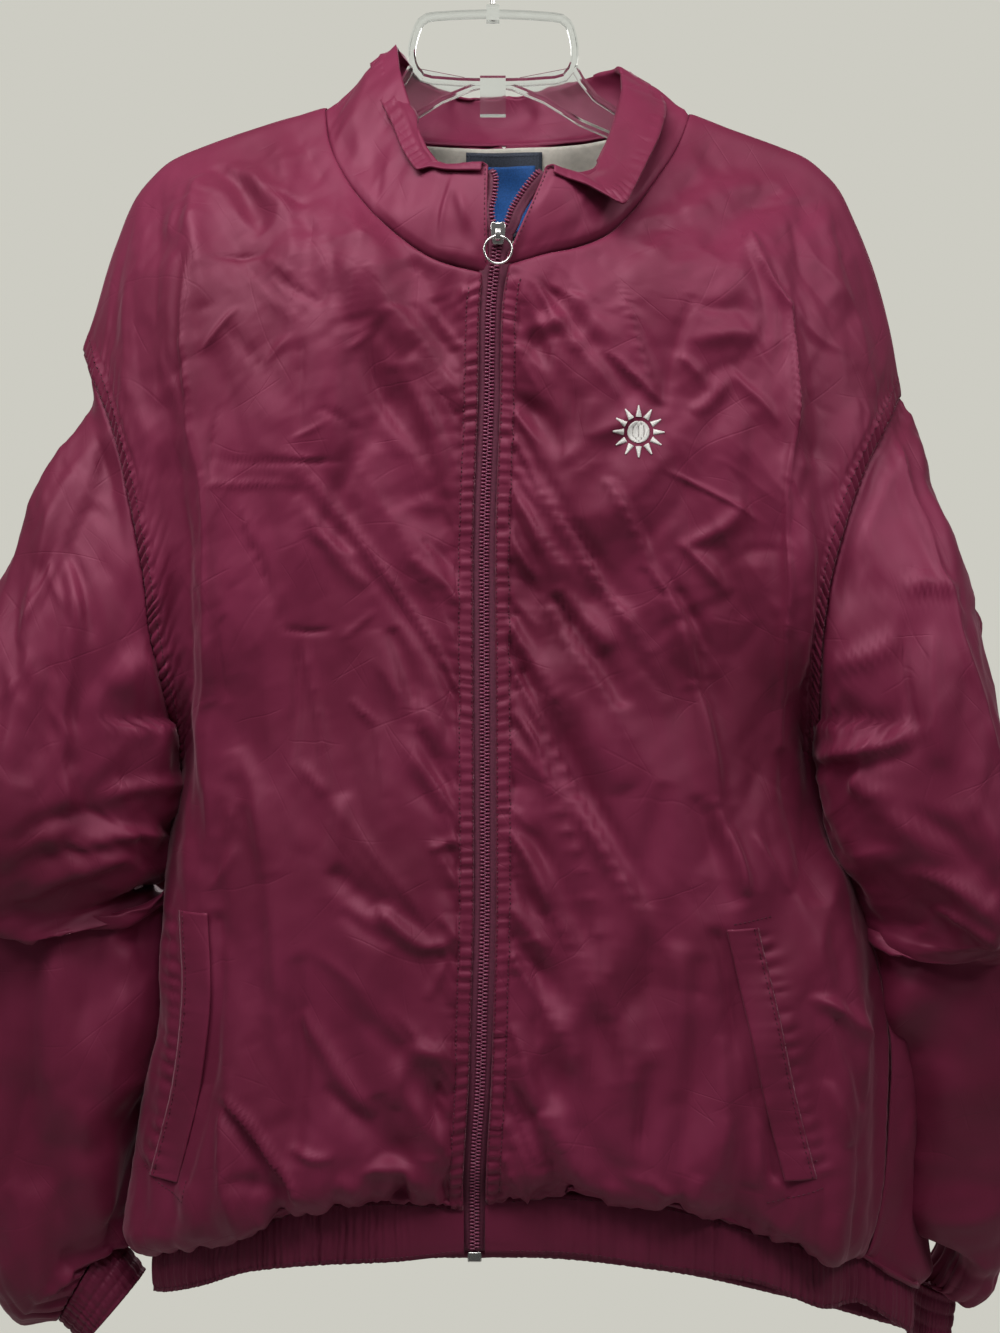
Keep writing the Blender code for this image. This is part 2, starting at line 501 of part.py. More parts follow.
def flat_sweep(name, x, z, width, depth, mat, closed=False, parent=None):
    """A bar of rectangular section, its corners cut, along a path in the hanger's plane."""
    p = np.stack([x, z], -1)
    if closed:
        d = np.roll(p, -1, 0) - np.roll(p, 1, 0)
    else:
        d = np.gradient(p, axis=0)
    d /= np.linalg.norm(d, axis=1)[:, None]
    n = np.stack([-d[:, 1], d[:, 0]], -1)
    w, t, c = width / 2, depth / 2, min(width, depth) * 0.22
    corners = [(w, t - c), (w - c, t), (c - w, t), (-w, t - c), (-w, c - t), (c - w, -t), (w - c, -t), (w, c - t)]
    return sweep(name, p, lambda i: [(p[i, 0] + n[i, 0] * a, b, p[i, 1] + n[i, 1] * a) for a, b in corners], mat, closed, parent)


def box_mesh(name, low, high, mat, parent=None):
    bm = bmesh.new()
    bmesh.ops.create_cube(bm, size=1)
    for v in bm.verts:
        v.co = Vector([low[i] if v.co[i] < 0 else high[i] for i in range(3)])
    mesh = bpy.data.meshes.new(name)
    bm.to_mesh(mesh)
    bm.free()
    return add(name, mesh, mat, parent)


def unite(obj, other, operation="UNION"):
    m = obj.modifiers.new(operation.title(), "BOOLEAN")
    m.operation = operation
    m.object = other
    other.hide_render = True
    other.display_type = "WIRE"


# ---- build ---------------------------------------------------------------------------
def build():
    for obj in list(bpy.data.objects):
        bpy.data.objects.remove(obj)

    nylon = material("maroon_nylon", (0.17, 0.018, 0.05), 0.42)
    rib = material("maroon_elastic", (0.15, 0.016, 0.045), 0.55)
    tape = material("maroon_zip_tape", (0.16, 0.02, 0.06), 0.5)
    lining = material("off_white_lining", (0.68, 0.63, 0.56), 0.85)
    slate = material("label_weave", (0.05, 0.12, 0.35), 0.8)
    steel = material("silver_metal", (0.7, 0.7, 0.7), 0.25, 1.0)
    clear = material("clear_plastic", (0.92, 0.94, 0.95), 0.08, 0.0, 0.9)

    rest = bpy.data.objects.new("hook_rest", None)
    bpy.context.scene.collection.objects.link(rest)

    # fronts
    u = np.concatenate([np.linspace(0, 0.12, 3)[:-1], np.linspace(0.12, 1, 12)])
    v_side = np.array([0, 0.012, 0.03, 0.05, 0.075, 0.10, 0.14, 0.20, 0.265, 0.33])
    v_armhole = np.array([ARMPIT, 0.45, 0.51, 0.57, 0.63, 0.685, NECK, 0.79, 0.84, 0.89, NECK_BACK, 0.967, 1.0])
    v = np.concatenate([v_side, v_armhole])
    fronts = {}
    for side, name in ((-1, "front_left"), (1, "front_right")):
        p = pull_in(front_points(side, u, v), "lrb", SEAM_GAP)
        neck = v > NECK
        step = p[neck, 1] - p[neck, 0]
        p[neck, 0] += step / np.linalg.norm(step, axis=1)[:, None] * 4 * SEAM_GAP
        p = pull_in(p, "t", 2.4 * SEAM_GAP)
        fronts[side] = p
        wall(name, [p], nylon, CLOTH_WALL, flip=side > 0, parent=rest)

    # back, two halves welded down the centre line below the neck
    ub = np.array([0, 0.14, 0.28, 0.42, 0.54, 0.65, 0.73, 0.79, 0.84, 0.91, 1.0])
    vb = v
    split = int(np.searchsorted(vb, NECK_BACK))
    halves = []
    for side in (-1, 1):
        p = patch(side, True, ub, vb)
        q = pull_in(pull_in(pull_in(p, "b", SEAM_GAP), "r", 2.4 * SEAM_GAP), "t", 2.4 * SEAM_GAP)
        away = q[split:, 1] - q[split:, 0]
        q[split:, 0] += away / np.linalg.norm(away, axis=1)[:, None] * 3 * SEAM_GAP
        q[split, 0] = p[split, 0] - np.array([0, 0, 4 * SEAM_GAP])
        halves.append(q if side < 0 else q[:, ::-1])
    both = [halves[0], halves[1][:, ::-1]]
    points, faces = [], []
    for side, g in ((-1, both[0]), (1, both[1])):
        f = grid_faces(g.shape[0], g.shape[1], len(points))
        faces += f if side > 0 else [k[::-1] for k in f]
        points += [tuple(k) for k in g.reshape(-1, 3)]
    mesh = bpy.data.meshes.new("back")
    mesh.from_pydata(points, [], [f[::-1] for f in faces])
    bm = bmesh.new()
    bm.from_mesh(mesh)
    bmesh.ops.remove_doubles(bm, verts=bm.verts, dist=1e-6)
    bm.to_mesh(mesh)
    bm.free()
    back = add("back", mesh, nylon, rest)
    solid = back.modifiers.new("Wall", "SOLIDIFY")
    solid.thickness, solid.offset = CLOTH_WALL, 0
    mesh.shade_smooth()

    # sleeves and cuffs
    turn = np.arccos(np.clip(1 - 2 * (1 - v_armhole[::-1]) / (1 - ARMPIT), -1, 1))
    angle = np.concatenate([turn, 2 * math.pi - turn[-2:0:-1]])
    s = np.unique(np.concatenate([np.array([0, 0.35]), np.arange(1, 5), np.arange(5, 7.1, 0.5), np.arange(8, 15)]))
    for side, name, cuff, rows in ((-1, "sleeve_left", "cuff_left", CUFF_LEFT), (1, "sleeve_right", "cuff_right", CUFF_RIGHT)):
        gap = ARMHOLE_GAP + (ARMPIT_GAP - ARMHOLE_GAP) * np.clip(-np.cos(angle), 0, 1)[:, None] ** 6
        p = pull_in(sleeve_points(side, s, angle), "b", gap)
        p = pull_in(p, "t", SEAM_GAP)
        wall(name, [p], nylon, CLOTH_WALL, around=True, flip=side > 0, parent=rest)
        ring = sleeve_section(rows, np.array([0.0, 1.0, 2.0]), np.linspace(0, 2 * math.pi, 18, endpoint=False))
        wall(cuff, [ring], rib, 2.0 * MM, around=True, flip=side > 0, parent=rest)

    # collar
    t = np.linspace(0, 1, 30)
    w = np.array([0, 0.28, 0.54, 0.75, 0.84, 1.0])
    p = pull_in(collar_points(t, w), "lr", SEAM_GAP)
    p = pull_in(p, "b", 1.8 * MM)
    wall("collar", [p], nylon, CLOTH_WALL, parent=rest)

    # hem band
    t = np.linspace(0, 1, 53)
    wall("hem_band", [pull_in(band_points(t, np.array([0, 1.0])), "lr", SEAM_GAP)], rib, 2.2 * MM, flip=True, parent=rest)

    # lining and label inside the back of the neck, laid on the back
    tree = BVHTree.FromPolygons(points, faces)
    neck = line(NECK_SEAM, np.linspace(0.42, 0.63, 8))
    inside = []
    for k in np.linspace(0, 1, 5):
        row = []
        for n in neck:
            z = n[2] - 3.0 * MM - k * 0.11
            x = 0.008 + (n[0] - 0.008) * (1 - 0.1 * k)
            row.append((x, tree.ray_cast(Vector((x, -0.3, z)), Vector((0, 1, 0)))[0][1] - 2.6 * MM, z))
        inside.append(row)
    inside = np.array(inside)
    wall("lining_back_neck", [inside], lining, 1.0 * MM, parent=rest)
    tree = BVHTree.FromPolygons([tuple(k) for k in inside.reshape(-1, 3)], grid_faces(*inside.shape[:2]))
    rows = []
    for z in np.linspace(-0.172, -0.172 - LABEL_SIZE[1], 4):
        row = []
        for x in np.linspace(-LABEL_SIZE[0] / 2, LABEL_SIZE[0] / 2, 4):
            hit = tree.ray_cast(Vector((x + 0.008, -0.5, z)), Vector((0, 1, 0)))[0]
            row.append((x + 0.008, hit[1] - 2.4 * MM, z))
        rows.append(row)
    wall("neck_label", [np.array(rows)], slate, 0.9 * MM, parent=rest)

    # pocket welts, laid on the fronts
    for side, name, rows in ((-1, "pocket_welt_left", WELT_LEFT), (1, "pocket_welt_right", WELT_RIGHT)):
        g = fronts[side]
        tree = BVHTree.FromPolygons([tuple(k) for k in g.reshape(-1, 3)], grid_faces(*g.shape[:2]))
        k = np.linspace(0, 1, 9)
        n = len(rows["x"])
        x = MM * smooth_curve(np.arange(n), rows["x"], k * (n - 1))
        z = MM * smooth_curve(np.arange(n), rows["z"], k * (n - 1))
        strip = []
        for i in range(9):
            row = []
            for a in (-0.5, -0.17, 0.17, 0.5):
                px = x[i] + a * WELT_WIDTH
                hit, away = tree.ray_cast(Vector((px, -0.5, z[i])), Vector((0, 1, 0)))[:2]
                away = away if away.y < 0 else -away
                row.append(tuple(hit + away * 2.8 * MM))
            strip.append(row)
        wall(name, [np.array(strip)], nylon, CLOTH_WALL, flip=True, parent=rest)

    # zip: each tape with its own row of teeth
    up = np.linspace(-934.0, -256.0, 24)
    for side, name in ((-1, "zip_tape_left"), (1, "zip_tape_right")):
        low = zip_at(up)
        low[:, 0] += side * 0.15 * MM
        high = MM * np.stack([smooth_curve(ZIP_SPLIT["up"], ZIP_SPLIT["left" if side < 0 else "right"], ZIP_SPLIT["up"][1:]),
                              ZIP_SPLIT["deep"][1:], ZIP_SPLIT["up"][1:]], -1)
        path = np.concatenate([low, high])
        d = np.gradient(path, axis=0)
        d /= np.linalg.norm(d, axis=1)[:, None]
        across = np.stack([d[:, 2], 0 * d[:, 0], -d[:, 0]], -1) * side
        across /= np.linalg.norm(across, axis=1)[:, None]
        shape = [(0, -TEETH_WALL / 2), (TEETH_HALF, -TEETH_WALL / 2), (TEETH_HALF, -TAPE_WALL / 2), (TAPE_HALF - 0.9 * MM, -TAPE_WALL / 2),
                 (TAPE_HALF - 0.9 * MM, TAPE_WALL / 2), (TEETH_HALF, TAPE_WALL / 2), (TEETH_HALF, TEETH_WALL / 2), (0, TEETH_WALL / 2)]
        sweep(name, path, lambda i: [path[i] + across[i] * a + np.array([0, b, 0]) for a, b in shape], tape, parent=rest)

    # box at the zip's foot
    foot = zip_at([-936.0])[0]
    box_mesh("zip_box", foot + np.array([-4.6, -2.4, -5.0]) * MM, foot + np.array([4.6, 2.4, 1.6]) * MM, steel, rest)

    # slider: two plates and the post between them, with the bail in front
    at = zip_at([-261.0])[0]
    plate = box_mesh("zip_slider", at + np.array([-5.0, -3.1, -5.5]) * MM, at + np.array([5.0, -1.6, 9.0]) * MM, steel, rest)
    rear = box_mesh("slider_rear", at + np.array([-5.0, 1.6, -5.5]) * MM, at + np.array([5.0, 2.9, 9.0]) * MM, steel)
    post = box_mesh("slider_post", at + np.array([0.1, -2.4, 7.6]) * MM, at + np.array([1.2, 2.4, 9.0]) * MM, steel)
    pivot = at + np.array([0.0, -5.1, -0.6]) * MM
    cheeks = []
    for k, (lo, hi) in enumerate((((-1.9, -7.3, 1.1), (1.9, -6.2, 3.6)), ((-1.9, -7.3, -3.6), (1.9, -6.2, 2.0)))):
        cheeks.append(box_mesh(f"bail_{k}", at + np.array(lo) * MM, at + np.array(hi) * MM, steel))
    cheeks.append(box_mesh("bail_foot_low", at + np.array([-1.9, -7.0, -3.6]) * MM, at + np.array([1.9, -2.4, -2.0]) * MM, steel))
    cheeks.append(box_mesh("bail_foot_up", at + np.array([-1.9, -7.0, 1.4]) * MM, at + np.array([1.9, -2.4, 3.6]) * MM, steel))
    unite(plate, post)
    unite(plate, rear)
    for c in cheeks:
        unite(plate, c)

    # ring pull: its empty stands on the joint's axis, at the middle of the wire in the bail
    hinge = bpy.data.objects.new("ring_hinge", None)
    hinge.location = Vector(pivot)
    hinge.rotation_euler = (math.radians(-RING_LEAN), 0, 0)
    hinge.parent = rest
    bpy.context.scene.collection.objects.link(hinge)
    bm = bmesh.new()
    big, small = (RING_OUTER - RING_WIRE) / 2, RING_WIRE / 2
    rings = []
    for i in range(32):
        a = 2 * math.pi * i / 32
        rings.append([bm.verts.new((math.sin(a) * (big + small * math.cos(b)), small * math.sin(b), -big + math.cos(a) * (big + small * math.cos(b))))
                      for b in (2 * math.pi * j / 8 for j in range(8))])
    for i in range(32):
        for j in range(8):
            bm.faces.new((rings[i][j], rings[i][(j + 1) % 8], rings[(i + 1) % 32][(j + 1) % 8], rings[(i + 1) % 32][j]))
    bmesh.ops.recalc_face_normals(bm, faces=bm.faces)
    mesh = bpy.data.meshes.new("zip_pull")
    bm.to_mesh(mesh)
    bm.free()
    mesh.shade_smooth()
    add("zip_pull", mesh, steel, hinge)

    # hanger
    bar = round_loop(MM * np.stack([WINDOW["x"], WINDOW["z"]], -1))
    body = flat_sweep("hanger_body", bar[:, 0], bar[:, 1], RAIL_WIDTH + 0.6 * MM, RAIL_DEPTH, clear, True, rest)
    for side in (-1, 1):
        unite(body, flat_sweep("rail_upper", side * HANGER_ARM["x"] * MM, HANGER_ARM["z"] * MM, RAIL_WIDTH, RAIL_DEPTH, clear))
        unite(body, flat_sweep("rail_under", side * HANGER_UNDER["x"] * MM, HANGER_UNDER["z"] * MM, RAIL_WIDTH - 0.4 * MM, RAIL_DEPTH - 0.4 * MM, clear))
        k = np.linspace(0, 1, 12)
        ax, az = (smooth_curve(np.linspace(0, 1, len(HANGER_ARM["x"])), HANGER_ARM[c], k) for c in "xz")
        bx, bz = (smooth_curve(np.linspace(0, 1, len(HANGER_UNDER["x"])), HANGER_UNDER[c], k) for c in "xz")
        outline = [(x, z) for x, z in zip(ax, az)] + [(x, z) for x, z in zip(bx[::-1], bz[::-1])]
        outline = [(side * x * MM, z * MM) for x, z in outline]
        bm = bmesh.new()
        front = [bm.verts.new((x, -WEB_DEPTH / 2, z)) for x, z in outline]
        rear_ = [bm.verts.new((x, WEB_DEPTH / 2, z)) for x, z in outline]
        m = len(outline)
        half = m // 2
        for i in range(half - 1):
            j = m - 1 - i
            bm.faces.new((front[i], front[i + 1], front[j - 1], front[j]))
            bm.faces.new((rear_[i], rear_[j], rear_[j - 1], rear_[i + 1]))
        for i in range(m):
            bm.faces.new((front[i], rear_[i], rear_[(i + 1) % m], front[(i + 1) % m]))
        bmesh.ops.recalc_face_normals(bm, faces=bm.faces)
        mesh = bpy.data.meshes.new("web")
        bm.to_mesh(mesh)
        bm.free()
        unite(body, add("web", mesh, clear))
    unite(body, box_mesh("tab", np.array([-9.0, -4.2, -158.0]) * MM, np.array([9.0, 4.2, -131.0]) * MM, clear))
    unite(body, box_mesh("boss", np.array([-4.6, -3.9, -92.0]) * MM, np.array([4.6, 3.9, -81.0]) * MM, clear))

    # hook: a wire stem that stands in the boss and curls over the rail; the origin is its inner top
    r = HOOK_INNER / 2 + HOOK_WIRE / 2
    cz = -HOOK_INNER / 2
    hook = [(0.0, -80.6), (0.0, -68.0), (0.0, -57.0), (2.4, -50.0), (7.6, -42.5)]
    for a in np.radians(np.arange(-50, 200, 12.5)):
        hook.append((r / MM * math.cos(a), cz / MM + r / MM * math.sin(a)))
    hook = np.array(hook) * MM
    d = np.gradient(hook, axis=0)
    d /= np.linalg.norm(d, axis=1)[:, None]
    nrm = np.stack([-d[:, 1], d[:, 0]], -1)
    ring_angles = [2 * math.pi * j / 10 for j in range(10)]
    sweep("hanger_hook", hook, lambda i: [(hook[i, 0] + nrm[i, 0] * math.cos(a) * HOOK_WIRE / 2, math.sin(a) * HOOK_WIRE / 2,
                                           hook[i, 1] + nrm[i, 1] * math.cos(a) * HOOK_WIRE / 2) for a in ring_angles], steel, parent=rest)


build()
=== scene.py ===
"""Looks for a zip-front windbreaker with a stand collar, on a clear plastic hanger.

Metres, +Z up, the front facing -Y, the origin at the inner top of the hanger's hook.
Every cloth piece is a dense thin shell on the form of its solid: the same seams and
sections, with creases, puckers and gathers added in millimetres.
"""

import math

import bpy
import bmesh
import numpy as np
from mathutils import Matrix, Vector
from mathutils.bvhtree import BVHTree


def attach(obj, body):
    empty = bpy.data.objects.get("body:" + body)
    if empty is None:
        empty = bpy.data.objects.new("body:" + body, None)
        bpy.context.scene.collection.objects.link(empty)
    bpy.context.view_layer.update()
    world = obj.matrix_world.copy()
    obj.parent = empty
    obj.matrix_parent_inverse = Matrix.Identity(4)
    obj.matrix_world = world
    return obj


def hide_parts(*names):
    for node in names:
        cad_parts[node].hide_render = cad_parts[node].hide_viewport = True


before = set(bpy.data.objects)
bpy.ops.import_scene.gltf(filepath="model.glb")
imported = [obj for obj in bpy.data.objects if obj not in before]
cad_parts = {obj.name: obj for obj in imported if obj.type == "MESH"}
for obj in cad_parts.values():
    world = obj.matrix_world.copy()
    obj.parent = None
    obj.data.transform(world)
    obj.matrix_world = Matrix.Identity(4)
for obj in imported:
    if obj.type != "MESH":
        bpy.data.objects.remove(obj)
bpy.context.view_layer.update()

MM = 0.001

# ---- driving sizes -------------------------------------------------------
CLOTH_WALL = 1.4 * MM      # wall of a cloth piece
SEAM_GAP = 0.35 * MM       # each piece stops this far short of a seam line
ARMHOLE_GAP = 1.4 * MM     # the sleeve stops a little further off, its wall stands at an angle
ARMPIT_GAP = 3.4 * MM      # and most at the armpit, where the side seam joins
TAPE_HALF = 7.0 * MM       # zip centre line to the folded edge of a front
TEETH_HALF = 4.0 * MM      # half the width of the closed row of teeth
TAPE_WALL = 1.2 * MM
TEETH_WALL = 2.4 * MM
RING_OUTER = 20.0 * MM     # ring pull, outside
RING_WIRE = 1.7 * MM
RING_LEAN = 2.0            # degrees that the ring hangs forward of plumb
RAIL_DEPTH = 7.0 * MM      # hanger rails, front to back
RAIL_WIDTH = 4.6 * MM
WEB_DEPTH = 2.2 * MM
HOOK_WIRE = 3.4 * MM
HOOK_INNER = 32.0 * MM     # inside width of the hook's curl
WELT_WIDTH = 23.0 * MM
ROLL = 2.8 * MM            # how far outside the hem band the panels' lowest row turns
LABEL_SIZE = (55.0 * MM, 60.0 * MM)
ARMPIT = 0.40              # share of a front's outer edge where the side seam ends
NECK = 0.74                # share of its inner edge where the zip ends and the neck seam starts
NECK_BACK = 0.93           # the same on the back's centre line
POUCH = 0.13               # share of a panel's height that blouses over the hem band


def table(columns, rows):
    """Named columns as arrays."""
    return dict(zip(columns.split(), np.array(rows, float).T))


# ---- seams, millimetres -----------------------------------------------------
ZIP = table("up across deep", [   # the zip's centre line, from the box up to the slider
    (-936.0, -11.9, -72), (-900.0, -11.9, -76), (-874.0, -11.3, -84), (-820.0, -8.1, -90),
    (-763.0, -6.4, -92), (-698.0, -4.9, -88), (-576.0, -5.2, -79), (-473.0, -5.6, -74),
    (-366.0, -2.3, -75), (-311.0, -1.3, -79), (-284.0, 1.0, -81), (-256.0, 4.3, -82)])
ZIP_SPLIT = table("up left right deep", [   # the two rows of teeth above the slider
    (-256.0, 4.0, 4.6, -82), (-249.0, 1.6, 8.6, -82), (-243.0, 1.0, 10.6, -81),
    (-232.0, 3.0, 16.4, -77), (-221.0, 3.8, 24.0, -75), (-212.5, 0.8, 31.0, -72)])
NECK_SEAM = table("share across deep up", [
    (0.00, -6.0, -80, -284), (0.08, -31.5, -77, -277), (0.15, -60.4, -69, -259),
    (0.21, -85.4, -56, -234), (0.27, -102.8, -40, -206), (0.33, -114.1, -20, -176),
    (0.38, -117.2, 0, -152), (0.425, -88.0, 28, -160), (0.46, -45.0, 46, -166.5),
    (0.52, 8.0, 55, -166), (0.58, 62.0, 46, -165), (0.62, 108.0, 26, -160),
    (0.66, 138.5, 0, -156), (0.71, 128.0, -19, -184), (0.76, 111.1, -37, -212),
    (0.81, 91.5, -54, -240), (0.85, 75.4, -64, -256), (0.89, 56.3, -71, -265),
    (0.93, 37.5, -76, -270), (1.00, 10.5, -80, -279)])
COLLAR_CREST = table("share across deep up", [
    (0.00, -6.6, -72, -212), (0.08, -27.0, -67, -212), (0.15, -42.0, -53, -196),
    (0.21, -54.0, -31, -163), (0.27, -63.5, -8, -127), (0.33, -66.5, 14, -104),
    (0.38, -60.0, 36, -106), (0.425, -50.0, 50, -117), (0.46, -36.0, 58, -122),
    (0.52, -1.0, 66, -126), (0.58, 48.0, 58, -122), (0.62, 72.0, 46, -116),
    (0.66, 89.0, 28, -117), (0.71, 91.0, 5, -136), (0.76, 84.0, -18, -166),
    (0.81, 74.0, -36, -194), (0.85, 66.0, -51, -208), (0.89, 58.0, -60, -212),
    (0.93, 53.0, -65, -213), (1.00, 38.6, -70, -213)])
COLLAR_LIP = table("share across deep up", [
    (0.00, -7.4, -75, -216), (0.08, -30.0, -71, -214), (0.15, -57.0, -58, -202),
    (0.21, -69.0, -38, -174), (0.27, -82.5, -15, -142), (0.33, -87.0, 8, -119),
    (0.38, -80.0, 38, -116), (0.425, -62.0, 60, -128), (0.46, -42.0, 70, -132),
    (0.52, 0.0, 78, -136), (0.58, 52.0, 70, -132), (0.62, 82.0, 58, -126),
    (0.66, 104.0, 36, -124), (0.71, 121.0, -2, -152), (0.76, 116.0, -34, -177),
    (0.81, 104.0, -58, -206), (0.85, 94.0, -73, -228), (0.89, 86.0, -82, -240),
    (0.93, 64.0, -76, -226), (1.00, 40.4, -74, -217)])
LEFT_SIDE = table("share across deep up", [   # left side seam, then the front of the armhole
    (0.00, -238.0, 0, -952), (0.045, -260.0, 0, -925), (0.10, -252.8, 0, -885),
    (0.16, -243.0, 0, -833), (0.20, -235.3, 0, -802), (0.26, -231.8, 0, -756),
    (0.35, -229.0, 0, -674), (0.40, -219.0, 0, -621), (0.506, -223.8, -38, -568),
    (0.596, -230.5, -54, -524), (0.671, -233.5, -60, -489), (0.777, -243.6, -56, -438),
    (0.88, -256.8, -44, -388), (0.955, -275.2, -24, -349), (1.00, -288.0, 0, -322.6)])
RIGHT_SIDE = table("share across deep up", [
    (0.00, 253.0, -12, -953), (0.045, 265.0, -12, -930), (0.10, 275.5, -10, -885),
    (0.17, 278.0, -12, -814), (0.22, 275.0, -10, -779), (0.30, 257.9, -5, -709),
    (0.35, 240.0, 0, -667), (0.40, 229.8, 0, -621), (0.49, 224.5, -30, -587),
    (0.56, 222.5, -50, -553), (0.61, 222.3, -58, -530), (0.67, 225.0, -62, -500),
    (0.75, 235.8, -58, -456), (0.85, 253.9, -44, -409), (0.93, 271.0, -26, -381),
    (1.00, 286.7, 0, -355)])
LEFT_RIDGE = table("share across deep up", [   # over the hanger's arm, then down the upper arm
    (0.00, -117.2, 0, -152), (0.22, -170.6, 0, -168), (0.37, -205.8, 0, -180.5),
    (0.46, -226.8, 0, -190), (0.53, -240.9, 0, -203), (0.59, -251.4, 0, -217),
    (0.70, -262.0, 0, -242), (0.80, -270.4, 0, -266), (0.90, -278.6, 0, -294.5),
    (1.00, -288.0, 0, -322.6)])
RIGHT_RIDGE = table("share across deep up", [
    (0.00, 138.5, 0, -156), (0.15, 173.6, 0, -169.5), (0.28, 201.7, 0, -179.5),
    (0.36, 219.3, 0, -187), (0.43, 232.0, 0, -197), (0.50, 243.9, 0, -211),
    (0.57, 252.3, 0, -228), (0.67, 262.0, 0, -252), (0.78, 271.5, 0, -281),
    (0.89, 280.4, 0, -316), (1.00, 286.7, 0, -355)])
BACK_ARMHOLE = table("share deep", [   # how far behind the front seam's place the back armhole runs
    (0.40, 0), (0.506, 40), (0.596, 56), (0.671, 60), (0.777, 55), (0.88, 42), (0.955, 22), (1.0, 0)])
CENTRE_BACK = table("share across deep up", [
    (0.00, 20.0, 66, -947), (0.06, 20.0, 86, -905), (0.16, 20.0, 86, -820),
    (0.40, 14.0, 76, -600), (0.65, 10.0, 70, -400), (0.85, 8.0, 64, -230), (0.93, 8.0, 55, -166)])

# ---- fullness, millimetres ------------------------------------------------------
FRONT_FULLNESS = table("share deep", [
    (0, 0), (0.08, 8), (0.2, 12), (0.35, 10), (0.5, 8), (0.7, 7), (0.85, 5), (0.95, 2), (1, 0)])
POUCH_LEFT = table("across drop out", [   # across: 0 at the zip, 1 at the side seam
    (0.00, 2, 2), (0.10, 11, 11), (0.22, 5, 7), (0.40, 17, 15), (0.56, 11, 10), (0.72, 20, 15),
    (0.88, 18, 9), (1.0, 12, 0)])
POUCH_RIGHT = table("across drop out", [
    (0.00, 2, 2), (0.12, 8, 10), (0.32, 20, 16), (0.48, 10, 9), (0.64, 18, 15), (0.84, 18, 10),
    (1.0, 12, 0)])
POUCH_BACK = table("across drop out", [
    (0.00, 17, 13), (0.2, 12, 9), (0.4, 18, 14), (0.6, 12, 10), (0.8, 18, 12), (1.0, 12, 0)])
SIDE_STRIP = table("share across", [   # the back's right side stands out past the front's edge
    (0.0, 0), (0.04, 12), (0.08, 0), (0.17, -4), (0.24, -14), (0.30, -38), (0.36, -54), (0.42, -48),
    (0.60, -20), (1.0, 0)])

# ---- largest folds on the fronts: two ends on the cloth, half width, height (minus is a trough)
FRONT_FOLDS = table("x0 z0 x1 z1 half high", [
    (-199, -302, -186, -640, 14, 6), (-208, -330, -207, -620, 13, -8),
    (207, -330, 200, -600, 15, 8), (176, -300, 206, -370, 14, 7), (222, -520, 226, -720, 16, -8),
    (30, -480, 120, -640, 16, 5), (16, -470, 74, -700, 12, -5),
    (-40, -560, -92, -760, 16, 4), (-150, -480, -110, -760, 18, 4),
    (-130, -870, -140, -760, 10, -6), (112, -880, 122, -770, 10, -6), (-58, -880, -62, -800, 9, -5)])

# ---- sleeves: outer and inner end of each section, then its depth towards the front and the
# back of a middle line at "mid", and how far the front's middle hangs past the two ends
SLEEVE = "ox oz ix iz mid front back hang"
SLEEVE_LEFT = table(SLEEVE, [
    (-288.0, -322.6, -219.0, -621.0, 0, 60, 60, 0),
    (-304.1, -371.8, -229.0, -645.0, 0, 70, 64, 2),
    (-321.7, -428.0, -235.5, -663.0, 0, 80, 67, 6),
    (-340.7, -484.2, -247.0, -679.0, 0, 88, 68, 12),
    (-360.4, -547.5, -270.0, -693.0, 0, 90, 68, 26),
    (-374.0, -603.0, -290.0, -701.0, 2, 84, 67, 50),
    (-380.0, -636.0, -270.0, -705.0, 10, 70, 60, 54),
    (-386.3, -674.0, -240.0, -690.0, 20, 56, 54, 34),
    (-389.9, -737.0, -234.5, -720.0, 20, 52, 54, 12),
    (-388.5, -807.0, -237.0, -780.0, 20, 53, 55, 4),
    (-382.8, -863.6, -246.0, -828.0, 24, 54, 53, 2),
    (-373.0, -920.0, -256.0, -882.0, 28, 52, 50, 4),
    (-355.0, -976.0, -268.5, -930.0, 30, 46, 44, 8),
    (-334.0, -1012.0, -280.5, -954.5, 31, 36, 36, 6),
    (-311.0, -1012.0, -276.0, -953.0, 31, 26, 26, 0)])
SLEEVE_RIGHT = table(SLEEVE, [
    (286.7, -355.0, 229.8, -621.0, 0, 62, 62, 0),
    (307.1, -414.0, 241.0, -641.0, 0, 72, 66, 4),
    (321.2, -477.0, 248.5, -660.0, 0, 80, 68, 8),
    (338.8, -540.0, 257.5, -682.0, 0, 86, 68, 14),
    (357.7, -611.0, 268.0, -703.0, 0, 88, 68, 28),
    (371.0, -658.0, 275.0, -714.0, 2, 82, 67, 44),
    (378.0, -690.0, 271.0, -718.0, 12, 68, 60, 42),
    (385.8, -730.0, 266.0, -714.0, 20, 56, 54, 24),
    (393.4, -786.0, 281.0, -750.0, 25, 51, 55, 8),
    (395.8, -842.0, 316.0, -822.0, 31, 48, 56, 3),
    (391.9, -892.0, 323.0, -873.0, 43, 46, 50, 2),
    (382.0, -940.0, 330.0, -921.0, 58, 40, 42, 4),
    (366.0, -984.0, 328.0, -966.0, 76, 32, 32, 4),
    (354.0, -1012.0, 318.0, -996.0, 84, 27, 27, 3),
    (345.0, -1008.0, 314.0, -998.0, 86, 23, 23, 0)])
CUFF_LEFT = table(SLEEVE, [
    (-310.6, -1012.4, -275.6, -953.4, 31, 26, 26, 0), (-301.0, -1021.0, -262.0, -966.0, 31, 24, 24, 0),
    (-293.0, -1029.0, -250.5, -980.0, 31, 24, 24, 0)])
